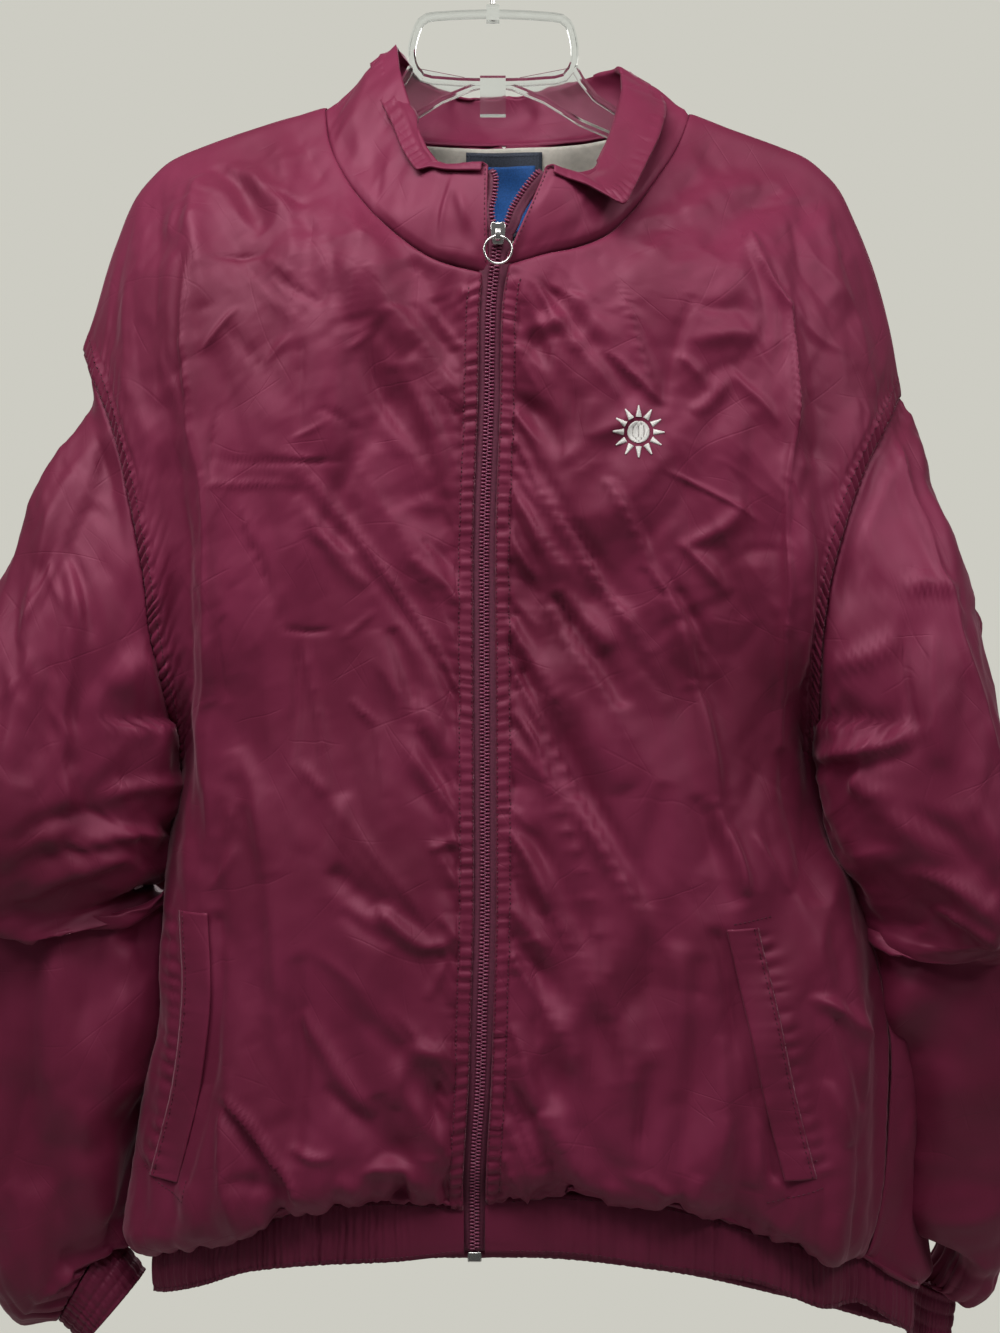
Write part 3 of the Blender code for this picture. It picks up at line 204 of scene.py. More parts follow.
CUFF_RIGHT = table(SLEEVE, [
    (344.5, -1010.6, 313.5, -1000.6, 86.3, 23, 23, 0), (342.0, -1030.0, 312.0, -1022.0, 88, 22, 22, 0),
    (339.0, -1052.0, 311.0, -1046.0, 90, 23, 23, 0)])
BAND = table("share across deep top bottom", [   # hem band, from the zip round the left side and the back
    (0.00, -19.0, -74, -903.5, -936), (0.05, -62.0, -73, -900, -941), (0.11, -118.0, -70, -902, -944.5),
    (0.16, -162.0, -62, -921, -951), (0.20, -198.0, -45, -932, -966), (0.24, -225.0, -23, -944, -977),
    (0.27, -238.0, 0, -952, -983), (0.31, -226.0, 28, -952, -986), (0.37, -180.0, 52, -949, -984),
    (0.45, -90.0, 64, -946, -980), (0.53, 20.0, 66, -947, -980), (0.62, 130.0, 64, -956, -990),
    (0.69, 220.0, 60, -972, -1008), (0.74, 280.0, 46, -984, -1020), (0.77, 300.0, 26, -986, -1022),
    (0.80, 284.0, 4, -974, -1008), (0.83, 253.0, -12, -953, -988), (0.87, 228.0, -38, -944, -984),
    (0.91, 176.0, -58, -924, -960), (0.95, 110.0, -69, -903, -947), (0.98, 40.0, -73, -896, -937),
    (1.00, -5.0, -74, -899.5, -935.7)])
LEFT_SEAM, BACK_MIDDLE, RIGHT_SEAM = 0.27, 0.53, 0.83   # shares of the band's length
WELT_LEFT = table("x z", [(-203, -711), (-200, -760), (-206, -820), (-217, -868), (-224, -893)])
WELT_RIGHT = table("x z", [(166, -719), (180, -780), (192, -836), (205, -886)])
HANGER_ARM = table("x z", [   # the upper rail's line, from the window's corner to the tip
    (57.0, -124.0), (62.0, -133.0), (72.0, -145.5), (88.0, -156.0), (128.0, -167.5),
    (172.0, -180.0), (206.0, -195.0), (226.0, -208.0)])
HANGER_UNDER = table("x z", [   # the lower rail's line, from the middle to the tip
    (0.0, -135.0), (14.0, -138.0), (36.0, -147.0), (62.0, -163.0), (92.0, -176.0), (140.0, -192.0),
    (185.0, -205.0), (222.0, -215.0)])
WINDOW = table("x z", [   # the middle line of the window's bar
    (-52.5, -95.5), (-48.0, -90.5), (-40.0, -88.2), (0.0, -86.5), (42.0, -88.6), (50.0, -91.2), (54.5, -96.5),
    (57.5, -110.0), (56.5, -121.5), (52.5, -128.5), (44.0, -133.0), (0.0, -135.0), (-43.0, -133.0),
    (-51.5, -128.5), (-56.0, -121.5), (-56.8, -110.0)])


# ---- curves and patches ------------------------------------------------------
def smooth_curve(x, y, at):
    """Monotone cubic through the table's points: it never overshoots them."""
    x, y, at = np.asarray(x, float), np.asarray(y, float), np.asarray(at, float)
    if x[0] > x[-1]:
        x, y = x[::-1], y[::-1]
    h = np.diff(x)
    d = np.diff(y) / h
    m = np.zeros(len(x))
    m[0], m[-1] = d[0], d[-1]
    for i in range(1, len(x) - 1):
        if d[i - 1] * d[i] > 0:
            a, b = 2 * h[i] + h[i - 1], h[i] + 2 * h[i - 1]
            m[i] = (a + b) / (a / d[i - 1] + b / d[i])
    i = np.clip(np.searchsorted(x, at) - 1, 0, len(h) - 1)
    t = np.clip((at - x[i]) / h[i], 0, 1)
    return (y[i] * (1 + 2 * t) * (1 - t) ** 2 + h[i] * m[i] * t * (1 - t) ** 2
            + y[i + 1] * t * t * (3 - 2 * t) + h[i] * m[i + 1] * t * t * (t - 1))


def round_loop(points, steps=2):
    """A closed line through the points, with rounded turns between them."""
    p0, p1, p2, p3 = (np.roll(points, k, axis=0) for k in (1, 0, -1, -2))
    t = (np.arange(steps) / steps)[None, :, None]
    p0, p1, p2, p3 = (p[:, None, :] for p in (p0, p1, p2, p3))
    return 0.5 * (2 * p1 + (p2 - p0) * t + (2 * p0 - 5 * p1 + 4 * p2 - p3) * t ** 2
                  + (3 * p1 - p0 - 3 * p2 + p3) * t ** 3).reshape(-1, points.shape[1])


def line(rows, at):
    """Points of a seam table, in metres."""
    at = np.asarray(at, float)
    return MM * np.stack([smooth_curve(rows["share"], rows[k], at) for k in ("across", "deep", "up")], -1)


def zip_at(up):
    up = np.asarray(up, float)
    return MM * np.stack([smooth_curve(ZIP["up"], ZIP["across"], up), smooth_curve(ZIP["up"], ZIP["deep"], up), up], -1)


def front_inner(side, v):
    """Inner edge of a front: up the zip, then along the neck seam to the shoulder."""
    v = np.asarray(v, float)
    low = -903.5 if side < 0 else -899.5
    top = NECK_SEAM["up"][0 if side < 0 else -1]
    zip_part = zip_at(low + (top - low) * np.clip(v / NECK, 0, 1))
    zip_part[:, 0] += side * TAPE_HALF
    along = np.clip((v - NECK) / (1 - NECK), 0, 1)
    neck = line(NECK_SEAM, 0.38 * along if side < 0 else 1 - 0.34 * along)
    ease = np.clip((v - NECK + 0.05) / 0.05, 0, 1)[:, None]
    meet = zip_at([top])[0] + np.array([side * TAPE_HALF, 0, 0])
    joined = zip_part + (line(NECK_SEAM, [0.0 if side < 0 else 1.0]) - meet) * ease ** 2
    return np.where((v >= NECK)[:, None], neck, joined)


def back_inner(side, v):
    v = np.asarray(v, float)
    along = np.clip((v - NECK_BACK) / (1 - NECK_BACK), 0, 1)
    neck = line(NECK_SEAM, 0.52 - 0.14 * along if side < 0 else 0.52 + 0.14 * along)
    return np.where((v >= NECK_BACK)[:, None], neck, line(CENTRE_BACK, np.minimum(v, NECK_BACK)))


def outer(side, v, back):
    p = line(LEFT_SIDE if side < 0 else RIGHT_SIDE, v)
    if back:
        behind = MM * smooth_curve(BACK_ARMHOLE["share"], BACK_ARMHOLE["deep"], np.maximum(v, ARMPIT))
        p[:, 1] = np.where(v > ARMPIT, behind, p[:, 1])
        p[:, 0] += np.where(v > ARMPIT, side * 0.06 * behind, 0)
    return p


def band_line(share, drop=0.0):
    """The hem band's top edge, or a share of the way down to its lower edge."""
    x, y, top, low = (MM * smooth_curve(BAND["share"], BAND[k], share) for k in ("across", "deep", "top", "bottom"))
    return np.stack([x, y, top + drop * (low - top)], -1)


def hem_row(side, back, u):
    """The part of the band's top edge that this half panel is sewn to."""
    if back:
        return band_line(BACK_MIDDLE + u * ((LEFT_SEAM if side < 0 else RIGHT_SEAM) - BACK_MIDDLE))
    return band_line(u * LEFT_SEAM if side < 0 else 1 - u * (1 - RIGHT_SEAM))


def blend_row(v):
    """How much of the hem's roundness a row keeps: all of it to the armpit, none at the shoulder."""
    t = np.clip((v - ARMPIT + 0.10) / (1 - ARMPIT + 0.10), 0, 1)
    return (1 - t) ** 1.6


def patch(side, back, u, v):
    """Points of half a body panel: u from its inner to its outer edge, v from hem to shoulder."""
    ends = np.array([0.0, NECK, 1.0])
    in_ends = (back_inner if back else front_inner)(side, ends)
    out_ends = outer(side, ends, back)
    inner = back_inner(side, v) if back else front_inner(side, v)
    out = outer(side, v, back)
    bottom = hem_row(side, back, u)
    ridge = LEFT_RIDGE if side < 0 else RIGHT_RIDGE
    top = line(ridge, u)
    keep = blend_row(v)[:, None, None]
    U = u[None, :, None]
    p = (keep * bottom[None] + (1 - keep) * top[None] + (1 - U) * inner[:, None] + U * out[:, None]
         - keep * ((1 - U) * in_ends[0] + U * out_ends[0]) - (1 - keep) * ((1 - U) * in_ends[2] + U * out_ends[2]))
    # the lowest rows roll over the outside of the band
    share = BACK_MIDDLE + u * ((LEFT_SEAM if side < 0 else RIGHT_SEAM) - BACK_MIDDLE) if back else (
        u * LEFT_SEAM if side < 0 else 1 - u * (1 - RIGHT_SEAM))
    run = band_line(np.clip(share + 0.004, 0, 1)) - band_line(np.clip(share - 0.004, 0, 1))
    away = np.stack([-run[:, 1], run[:, 0], 0 * run[:, 0]], -1)
    away *= ROLL / np.linalg.norm(away, axis=1)[:, None]
    p += away[None] * np.clip(1 - v / 0.05, 0, 1)[:, None, None]
    sign = 1 if back else -1
    full = MM * smooth_curve(FRONT_FULLNESS["share"], FRONT_FULLNESS["deep"], v)[:, None]
    p[..., 1] += sign * full * np.sin(math.pi * np.clip(u, 0, 1)[None, :]) ** 0.8
    roll = POUCH_BACK if back else POUCH_LEFT if side < 0 else POUCH_RIGHT
    q = np.clip(v / POUCH, 0, 1)[:, None]
    drop = MM * smooth_curve(roll["across"], roll["drop"], u)[None, :]
    out_by = MM * smooth_curve(roll["across"], roll["out"], u)[None, :]
    p[..., 2] -= drop * np.sin(math.pi * q ** 0.62) * 1.05
    p[..., 1] += sign * out_by * np.sin(math.pi * q ** 0.8)
    if back and side > 0:
        strip = MM * smooth_curve(SIDE_STRIP["share"], SIDE_STRIP["across"], v)[:, None]
        p[..., 0] += strip * np.sin(math.pi * np.clip((u[None, :] - 0.5) / 0.5, 0, 1))
    return p


def fold_height(x, z, folds):
    """Soft ridges and troughs along lines drawn on the cloth, seen from the front."""
    h = np.zeros_like(x)
    for x0, z0, x1, z1, half, high in zip(*(folds[k] for k in ("x0", "z0", "x1", "z1", "half", "high"))):
        a, b = np.array([x0, z0]) * MM, np.array([x1, z1]) * MM
        along = ((x - a[0]) * (b - a)[0] + (z - a[1]) * (b - a)[1]) / ((b - a) @ (b - a))
        t = np.clip(along, 0, 1)
        off = np.hypot(x - a[0] - t * (b - a)[0], z - a[1] - t * (b - a)[1]) / (half * MM)
        h += high * MM * np.exp(-off ** 2) * np.clip(4 * t * (1 - t) + 0.35, 0, 1)
    return h


def front_points(side, u, v):
    p = patch(side, False, u, v)
    edge = np.minimum(np.clip(u / 0.12, 0, 1)[None, :], np.clip((1 - u) / 0.12, 0, 1)[None, :])
    edge = edge * np.clip((1 - v) / 0.12, 0, 1)[:, None] * np.clip(v / 0.1, 0, 1)[:, None]
    p[..., 1] -= fold_height(p[..., 0], p[..., 2], FRONT_FOLDS) * edge
    return p


def sleeve_section(rows, s, angle):
    """Ring points: angle 0 is the outer end, a half turn the inner one, the front half between."""
    at = np.arange(len(rows["ox"]))
    g = {k: MM * smooth_curve(at, rows[k], s)[:, None] for k in rows}
    c, d = np.cos(angle)[None, :], np.sin(angle)[None, :]
    n = 2 / 2.25
    c = np.sign(c) * np.abs(c) ** n
    bulge = np.abs(d) ** n
    mx, mz, hx, hz = (g["ox"] + g["ix"]) / 2, (g["oz"] + g["iz"]) / 2, (g["ox"] - g["ix"]) / 2, (g["oz"] - g["iz"]) / 2
    long = np.hypot(hx, hz)
    px, pz = np.abs(hz) / long * np.sign(hx), -np.abs(hx) / long
    hang = g["hang"] * np.where(d > 0, bulge, 0.4 * bulge)
    x = mx + hx * c + px * hang
    z = mz + hz * c + pz * hang
    y = g["mid"] + np.where(d > 0, -g["front"] * bulge, g["back"] * bulge)
    return np.stack([x, y + 0 * x, z], -1)


def armhole_loop(side, angle):
    """The armhole seam all round, at the same angles as the sleeve's rings."""
    share = 1 - (1 - ARMPIT) * (1 - np.cos(angle)) / 2
    front, back = outer(side, share, False), outer(side, share, True)
    return np.where((np.sin(angle) >= 0)[:, None], front, back)


def sleeve_points(side, s, angle):
    rows = SLEEVE_LEFT if side < 0 else SLEEVE_RIGHT
    p = sleeve_section(rows, s, angle)
    near = np.clip(1 - s / 1.6, 0, 1)[:, None, None] ** 2 * (3 - 2 * np.clip(1 - s / 1.6, 0, 1)[:, None, None])
    loop = armhole_loop(side, angle)[None] - sleeve_section(rows, np.zeros(1), angle)
    return p + near * loop


def collar_points(t, w):
    """w: 0 at the neck seam, 0.75 at the crest, 1 at the lip of the turned-out edge."""
    base, crest, lip = (line(k, t) for k in (NECK_SEAM, COLLAR_CREST, COLLAR_LIP))
    centre = np.array([0.01, 0.0, 0.0])
    away = (base + crest) / 2 - centre
    away[:, 2] = 0
    away /= np.linalg.norm(away, axis=1)[:, None]
    belly = (base + crest) / 2 + away * 0.004
    stops = np.array([0, 0.38, 0.75, 1.0])
    pts = np.stack([base, belly, crest, lip])          # 4, n, 3
    out = np.empty((len(w), len(t), 3))
    top = pts[2] + (crest - base) * 0.04
    for i, k in enumerate(w):
        if k <= 0.75:
            a = k / 0.75
            out[i] = (1 - a) ** 2 * base + 2 * a * (1 - a) * (2 * belly - (base + crest) / 2) + a * a * crest
        else:
            a = (k - 0.75) / 0.25
            out[i] = (1 - a) ** 2 * crest + 2 * a * (1 - a) * ((crest + lip) / 2 + (top - crest) * 2.2) + a * a * lip
    return out


def band_points(t, w):
    return np.stack([band_line(t, k) for k in w])


# ---- fields on the cloth, millimetres --------------------------------------------
def scramble(i, j, k, seed):
    """A fixed pseudo-random number from -1 to 1 for each lattice point."""
    n = (i * 374761393 + j * 668265263 + k * 2147483647 + seed * 1274126177) & 0xFFFFFFFF
    n = ((n ^ (n >> 13)) * 1274126177) & 0xFFFFFFFF
    n = ((n ^ (n >> 16)) * 668265263) & 0xFFFFFFFF
    return ((n ^ (n >> 15)) & 0xFFFF) / 32767.5 - 1.0


def soft_noise(p, size, seed):
    """Smooth noise at points p (..., 3)."""
    q = p / size + 1000.5 + seed * 0.37
    i = np.floor(q).astype(np.int64)
    f = q - i
    f = f * f * (3 - 2 * f)
    out = 0
    for a in (0, 1):
        for b in (0, 1):
            for c in (0, 1):
                w = (f[..., 0] if a else 1 - f[..., 0]) * (f[..., 1] if b else 1 - f[..., 1]) * (f[..., 2] if c else 1 - f[..., 2])
                out = out + w * scramble(i[..., 0] + a, i[..., 1] + b, i[..., 2] + c, seed)
    return out


def facets(p, size, seed, turn=0.0, stretch=1.0, warp=0.3):
    """Flat facets with crisp edges, as on cloth that lay folded: heights joined by straight slopes.
    turn, in degrees, and stretch make them longer along a line across the front."""
    c, s = math.cos(math.radians(turn)), math.sin(math.radians(turn))
    q = np.stack([(p[..., 0] * c + p[..., 2] * s), p[..., 1], (-p[..., 0] * s + p[..., 2] * c) / stretch], -1)
    bend = np.stack([soft_noise(q, size * 1.7, seed + k) for k in (11, 12, 13)], -1)
    q = q / size + warp * bend * 1.6 + 1000.5
    q = np.stack([q[..., 0] + 0.31 * q[..., 2], q[..., 1] + 0.23 * q[..., 0], q[..., 2] - 0.17 * q[..., 0]], -1)
    i = np.floor(q).astype(np.int64)
    f = q - i
    order = np.argsort(-f, axis=-1)
    top = np.take_along_axis(f, order, -1)
    corner = i.copy()
    value = (1 - top[..., 0]) * scramble(corner[..., 0], corner[..., 1], corner[..., 2], seed)
    for step in range(3):
        np.put_along_axis(corner, order[..., step:step + 1], np.take_along_axis(corner, order[..., step:step + 1], -1) + 1, -1)
        weight = top[..., step] - (top[..., step + 1] if step < 2 else 0)
        value = value + weight * scramble(corner[..., 0], corner[..., 1], corner[..., 2], seed)
    return value


FOLD = "x0 z0 x1 z1 bend half high crisp lean"


def folds(x, z, rows, keep=1.0):
    """Creases drawn from (x0, z0) to (x1, z1): bend bows one sideways, half is its half width,
    high its height (minus is a trough), crisp sharpens its crest, and lean adds a trough beside it."""
    h = np.zeros_like(x)
    for x0, z0, x1, z1, bend, half, high, crisp, lean in rows:
        long = math.hypot(x1 - x0, z1 - z0)
        ux, uz = (x1 - x0) / long, (z1 - z0) / long
        high = high * min(1.0, (long / 50.0) ** 0.8)          # short creases stay shallow
        near = (x > min(x0, x1) - 45) & (x < max(x0, x1) + 45) & (z > min(z0, z1) - 45) & (z < max(z0, z1) + 45)
        if not near.any():
            continue
        X, Z = x[near], z[near]
        along = ((X - x0) * ux + (Z - z0) * uz) / long
        t = np.clip(along, 0, 1)
        off = (X - x0) * uz - (Z - z0) * ux - bend * 4 * t * (1 - t)
        r = np.hypot(off, (along - t) * long) / (half * (0.8 + 0.4 * t))
        end = np.clip(np.sin(math.pi * np.clip(along * 0.9 + 0.05, 0, 1)), 0, 1) ** 0.6
        part = high * end * ((1 - crisp) * np.exp(-r * r) + crisp * np.exp(-1.35 * r))
        if lean:
            s = math.copysign(1, lean)
            part -= high * abs(lean) * end * np.exp(-((off / half - 2.0 * s) / 1.2) ** 2)
        h[near] += part * keep
    return np.where(h > 0, 3.4 * np.tanh(h / 3.4), 1.9 * np.tanh(h / 1.9))      # no slots, no fins


def scatter(seed, count, box, length, half, high, lines=()):
    """Rows of small creases for a region: box is x0 z0 x1 z1, lines the directions in degrees."""
    rng = np.random.default_rng(seed)
    rows = []
    for _ in range(count):
        x, z = rng.uniform(box[0], box[2]), rng.uniform(box[1], box[3])
        a = math.radians(rng.choice(lines) + rng.normal(0, 14)) if len(lines) else rng.uniform(0, math.pi)
        long = length * rng.uniform(0.4, 1.5)
        sign = 1 if rng.random() < 0.6 else -1
        rows.append((x, z, x + math.cos(a) * long, z + math.sin(a) * long, rng.normal(0, 0.05) * long,
                     half * rng.uniform(0.6, 1.5), sign * high * rng.uniform(0.35, 1.2), rng.uniform(0.5, 0.95), rng.choice([0, 0.4, -0.4])))
    return rows


def ruffle(a, period, seed, sharp=0.75):
    """Uneven gathers along a seam: rounded tops and narrow valleys, about -0.5 to 0.5."""
    one = np.stack([a, a * 0, a * 0], -1)
    phase = a / period + 0.55 * soft_noise(one, period * 2.3, seed) + 0.25 * soft_noise(one, period * 0.9, seed + 5)
    high = 0.65 + 0.45 * soft_noise(one, period * 1.6, seed + 9)
    return (np.abs(np.sin(math.pi * phase)) ** sharp - 0.55) * high


def crumple(q, seed, turn, busy=1.0, fine=1.0):
    """Facets inside facets: large planes, the sharp creases between them, and small pressed ones."""
    h = busy * (13.0 * facets(q, 76, seed, turn, 2.8, 0.22) + 7.5 * facets(q, 38, seed + 1, -turn, 2.2, 0.26))
    h += fine * busy * (3.0 * facets(q, 20, seed + 2, 24, 1.9, 0.3) + 0.8 * facets(q, 10, seed + 3, -35, 1.5, 0.3))
    ridge = soft_noise(np.stack([q[..., 0], q[..., 1], q[..., 2] / 2.6], -1), 58, seed + 4)
    return h - 8.0 * busy * np.clip(0.24 - np.abs(ridge), 0, 1) ** 1.1


def drags(side, along, d_in):
    """Long uneven drag folds that start at the placket's stitch line: down and away from it on the
    right, up and away on the left, crisp on top with a trough under each."""
    rng = np.random.default_rng(71 + side)
    h = np.zeros_like(along)
    at = 38.0
    while at < 820:
        steep = rng.uniform(1.25, 2.3)
        long = rng.choice([26, 44, 70, 105, 135]) * rng.uniform(0.75, 1.2)
        half, high = rng.uniform(2.6, 5.4), rng.uniform(1.8, 4.6)
        run = np.clip((d_in - 9.5) / long, 0, 1)
        level = at - side * steep * (d_in - 9.5) * (1 - 0.22 * run)
        off = (along - level) / math.hypot(1, steep) * -side / (half * (1 + 0.9 * run))
        end = ease((d_in - 8.8) / 2.2) * ease((1 - run) / 0.55) * (d_in < 9.5 + long)
        h += high * end * (np.exp(-1.25 * np.abs(off) - 0.25 * off * off) - 0.75 * np.exp(-((off + 2.0) / 1.0) ** 2))
        at += rng.choice([12, 19, 27, 41]) * rng.uniform(0.8, 1.25)
    return h


def soften(h, times=1, around=False):
    for _ in range(times):
        for axis in (0, 1):
            if axis == 1 and around:
                h = 0.5 * h + 0.25 * (np.roll(h, 1, 1) + np.roll(h, -1, 1))
                continue
            m = np.moveaxis(h, axis, 0).copy()
            m[1:-1] = 0.5 * m[1:-1] + 0.25 * (m[:-2] + m[2:])
            h = np.moveaxis(m, 0, axis)
    return h


def even(p, reach, hold_low, hold_top, hold_in=0.0, hold_out=0.0):
    """Rounds the base form along its columns over a reach in millimetres; the edges stay."""
    d = arcs(p, 0)
    mid = d[:, p.shape[1] // 2]
    weight = np.exp(-0.5 * ((mid[:, None] - mid[None, :]) / reach) ** 2) * np.gradient(mid)[None, :]
    weight /= weight.sum(1, keepdims=True)
    flat = np.einsum("ij,jkl->ikl", weight, p)
    w = ease(d / hold_low) * ease((d[-1:] - d) / hold_top)
    if hold_in:
        e = arcs(p, 1)
        w = w * ease(e / hold_in) * ease((e[:, -1:] - e) / hold_out)
    return p + (flat - p) * w[..., None]


def arcs(p, axis):
    """Length along the cloth from the first row or column, in millimetres."""
    step = np.linalg.norm(np.diff(p, axis=axis), axis=-1) / MM
    start = np.zeros_like(np.take(step, [0], axis))
    return np.concatenate([start, np.cumsum(step, axis)], axis)


def normals(p, around=False):
    if around:
        du = np.roll(p, -1, 1) - np.roll(p, 1, 1)
    else:
        du = np.gradient(p, axis=1)
    dv = np.gradient(p, axis=0)
    n = np.cross(du, dv)
    n /= np.linalg.norm(n, axis=-1)[..., None] + 1e-12
    return n


def ease(x):
    x = np.clip(x, 0, 1)
    return x * x * (3 - 2 * x)


# ---- main creases of the fronts, drawn on the cloth ----------------------------------
FOLDS_LEFT = [
    (-204, -273, -193, -421, 2, 3.0, 3.2, 0.8, 0), (-193, -421, -186, -567, 0, 3.2, 2.6, 0.7, 0),
    (-186, -567, -191, -674, -2, 4, 1.8, 0.4, 0), (-192, -201, -154, -249, -3, 6, -3.0, 0.2, 0),
    (-178, -201, -134, -243, -2, 7, 2.4, 0.1, 0), (-154, -221, -124, -235, 1, 3, -1.5, 0.7, 0),
    (-186, -271, -153, -268, 1, 2.2, -1.4, 0.9, 0), (-154, -271, -134, -285, -1, 2.5, 1.4, 0.8, 0),
    (-147, -283, -114, -305, 1, 3, -1.4, 0.7, 0), (-202, -211, -192, -301, 3, 6, 2.4, 0.2, 0),
    (-170, -307, -192, -335, 0, 2.4, 1.8, 0.9, 0), (-176, -319, -154, -346, 1, 3, -1.6, 0.8, 0),
    (-154, -346, -136, -326, 0, 3, 1.4, 0.7, 0), (-128, -330, -130, -391, 1, 3, -1.8, 0.8, 0),
    (-114, -375, -91, -387, -1, 2.5, -1.8, 0.9, 0), (-132, -393, -112, -383, 1, 2.5, 1.5, 0.9, 0),
    (-95, -338, -78, -321, 0, 2.5, 1.6, 0.9, 0), (-183, -373, -187, -423, 1, 1.8, -1.0, 0.9, 0),
    (-188, -406, -98, -409, 2, 2.0, -0.9, 0.9, 0), (-195, -426, -128, -425, -2, 1.8, 0.8, 0.9, 0),
    (-139, -402, -114, -406, 3, 2.2, 1.3, 0.9, 0), (-80, -323, -53, -398, 5, 5, -3.0, 0.5, 0.4),
    (-62, -350, -20, -466, 4, 5, -4.2, 0.6, -0.5), (-52, -339, -20, -394, -2, 7, 2.6, 0.2, 0),
    (-40, -351, -18, -387, 1, 3, -2.0, 0.7, 0), (-94, -387, -95, -465, 1, 6, -2.4, 0.2, 0),
    (-125, -434, -87, -490, 2, 5, 2.0, 0.4, 0), (-162, -466, -148, -503, -2, 2.2, -1.6, 0.9, 0),
    (-170, -433, -158, -466, 1, 2.5, 1.2, 0.8, 0), (-140, -499, -139, -519, 0, 2.2, -1.8, 0.9, 0),
    (-139, -519, -107, -521, 2, 2.2, -1.8, 0.9, 0), (-98, -527, -80, -509, 0, 2.2, 1.5, 0.9, 0),
    (-43, -461, -18, -482, 1, 4, -2.6, 0.6, 0), (-50, -474, -20, -505, -1, 5, 2.0, 0.3, 0),
    (-126, -526, -110, -625, -1, 3, 1.8, 0.8, 0), (-126, -526, -134, -607, 1, 3, -1.8, 0.7, 0),
    (-128, -607, -111, -629, 0, 2.5, 1.5, 0.9, 0), (-94, -566, -78, -583, 1, 2.0, 2.6, 0.9, 0),
    (-79, -582, -71, -629, -1, 2.0, 1.2, 0.9, 0), (-66, -522, -52, -583, -3, 5, -3.6, 0.6, 0.4),
    (-52, -583, -23, -629, 2, 5, -3.2, 0.6, 0.3), (-54, -561, -20, -614, 2, 6, 2.2, 0.2, 0),
    (-187, -527, -192, -627, 1, 3, 1.6, 0.6, 0), (-180, -514, -178, -567, 1, 2.5, -1.2, 0.8, 0),
    (-168, -603, -147, -681, -4, 8, 2.4, 0.3, 0), (-147, -681, -134, -834, 1, 8, 2.6, 0.3, 0),
    (-178, -662, -168, -634, 0, 3, 1.6, 0.7, 0), (-189, -695, -170, -666, 1, 3, 1.6, 0.7, 0),
    (-180, -634, -186, -658, 0, 3, -1.3, 0.7, 0), (-98, -631, -105, -679, 1, 6, 1.8, 0.4, 0),
    (-105, -679, -72, -705, 2, 7, -3.0, 0.3, 0), (-76, -702, -44, -730, 3, 5.5, 4.2, 0.4, -0.3),
    (-44, -730, -19, -722, 1, 5, 3.6, 0.4, 0), (-43, -665, -20, -657, 0, 4, 2.8, 0.5, 0),
    (-43, -761, -28, -734, 0, 3.5, 1.8, 0.5, 0), (-51, -793, -23, -802, 1, 6, 3.6, 0.4, 0),
    (-99, -706, -70, -727, 1, 6, -2.2, 0.3, 0), (-63, -834, -48, -798, -3, 7, 2.4, 0.3, 0),
    (-128, -741, -128, -867, 1, 6, -3.0, 0.4, 0), (-123, -773, -80, -837, 3, 6, 2.6, 0.4, 0),
    (-176, -831, -128, -894, -3, 3.0, 4.0, 0.8, 0.6), (-172, -883, -134, -891, -2, 6, -3.2, 0.4, 0),
    (-180, -831, -167, -930, 2, 3.5, 2.2, 0.6, 0), (-132, -859, -106, -867, 2, 4, 3.0, 0.5, 0),
    (-84, -875, -52, -886, -5, 6, 4.4, 0.4, 0), (-102, -882, -90, -889, 0, 5, 2.6, 0.4, 0),
    (-75, -827, -64, -874, 2, 7, -2.6, 0.3, 0), (-108, -821, -67, -867, -3, 6, -2.0, 0.4, 0),
    (-35, -819, -42, -867, 1, 7, -2.8, 0.3, 0),
]
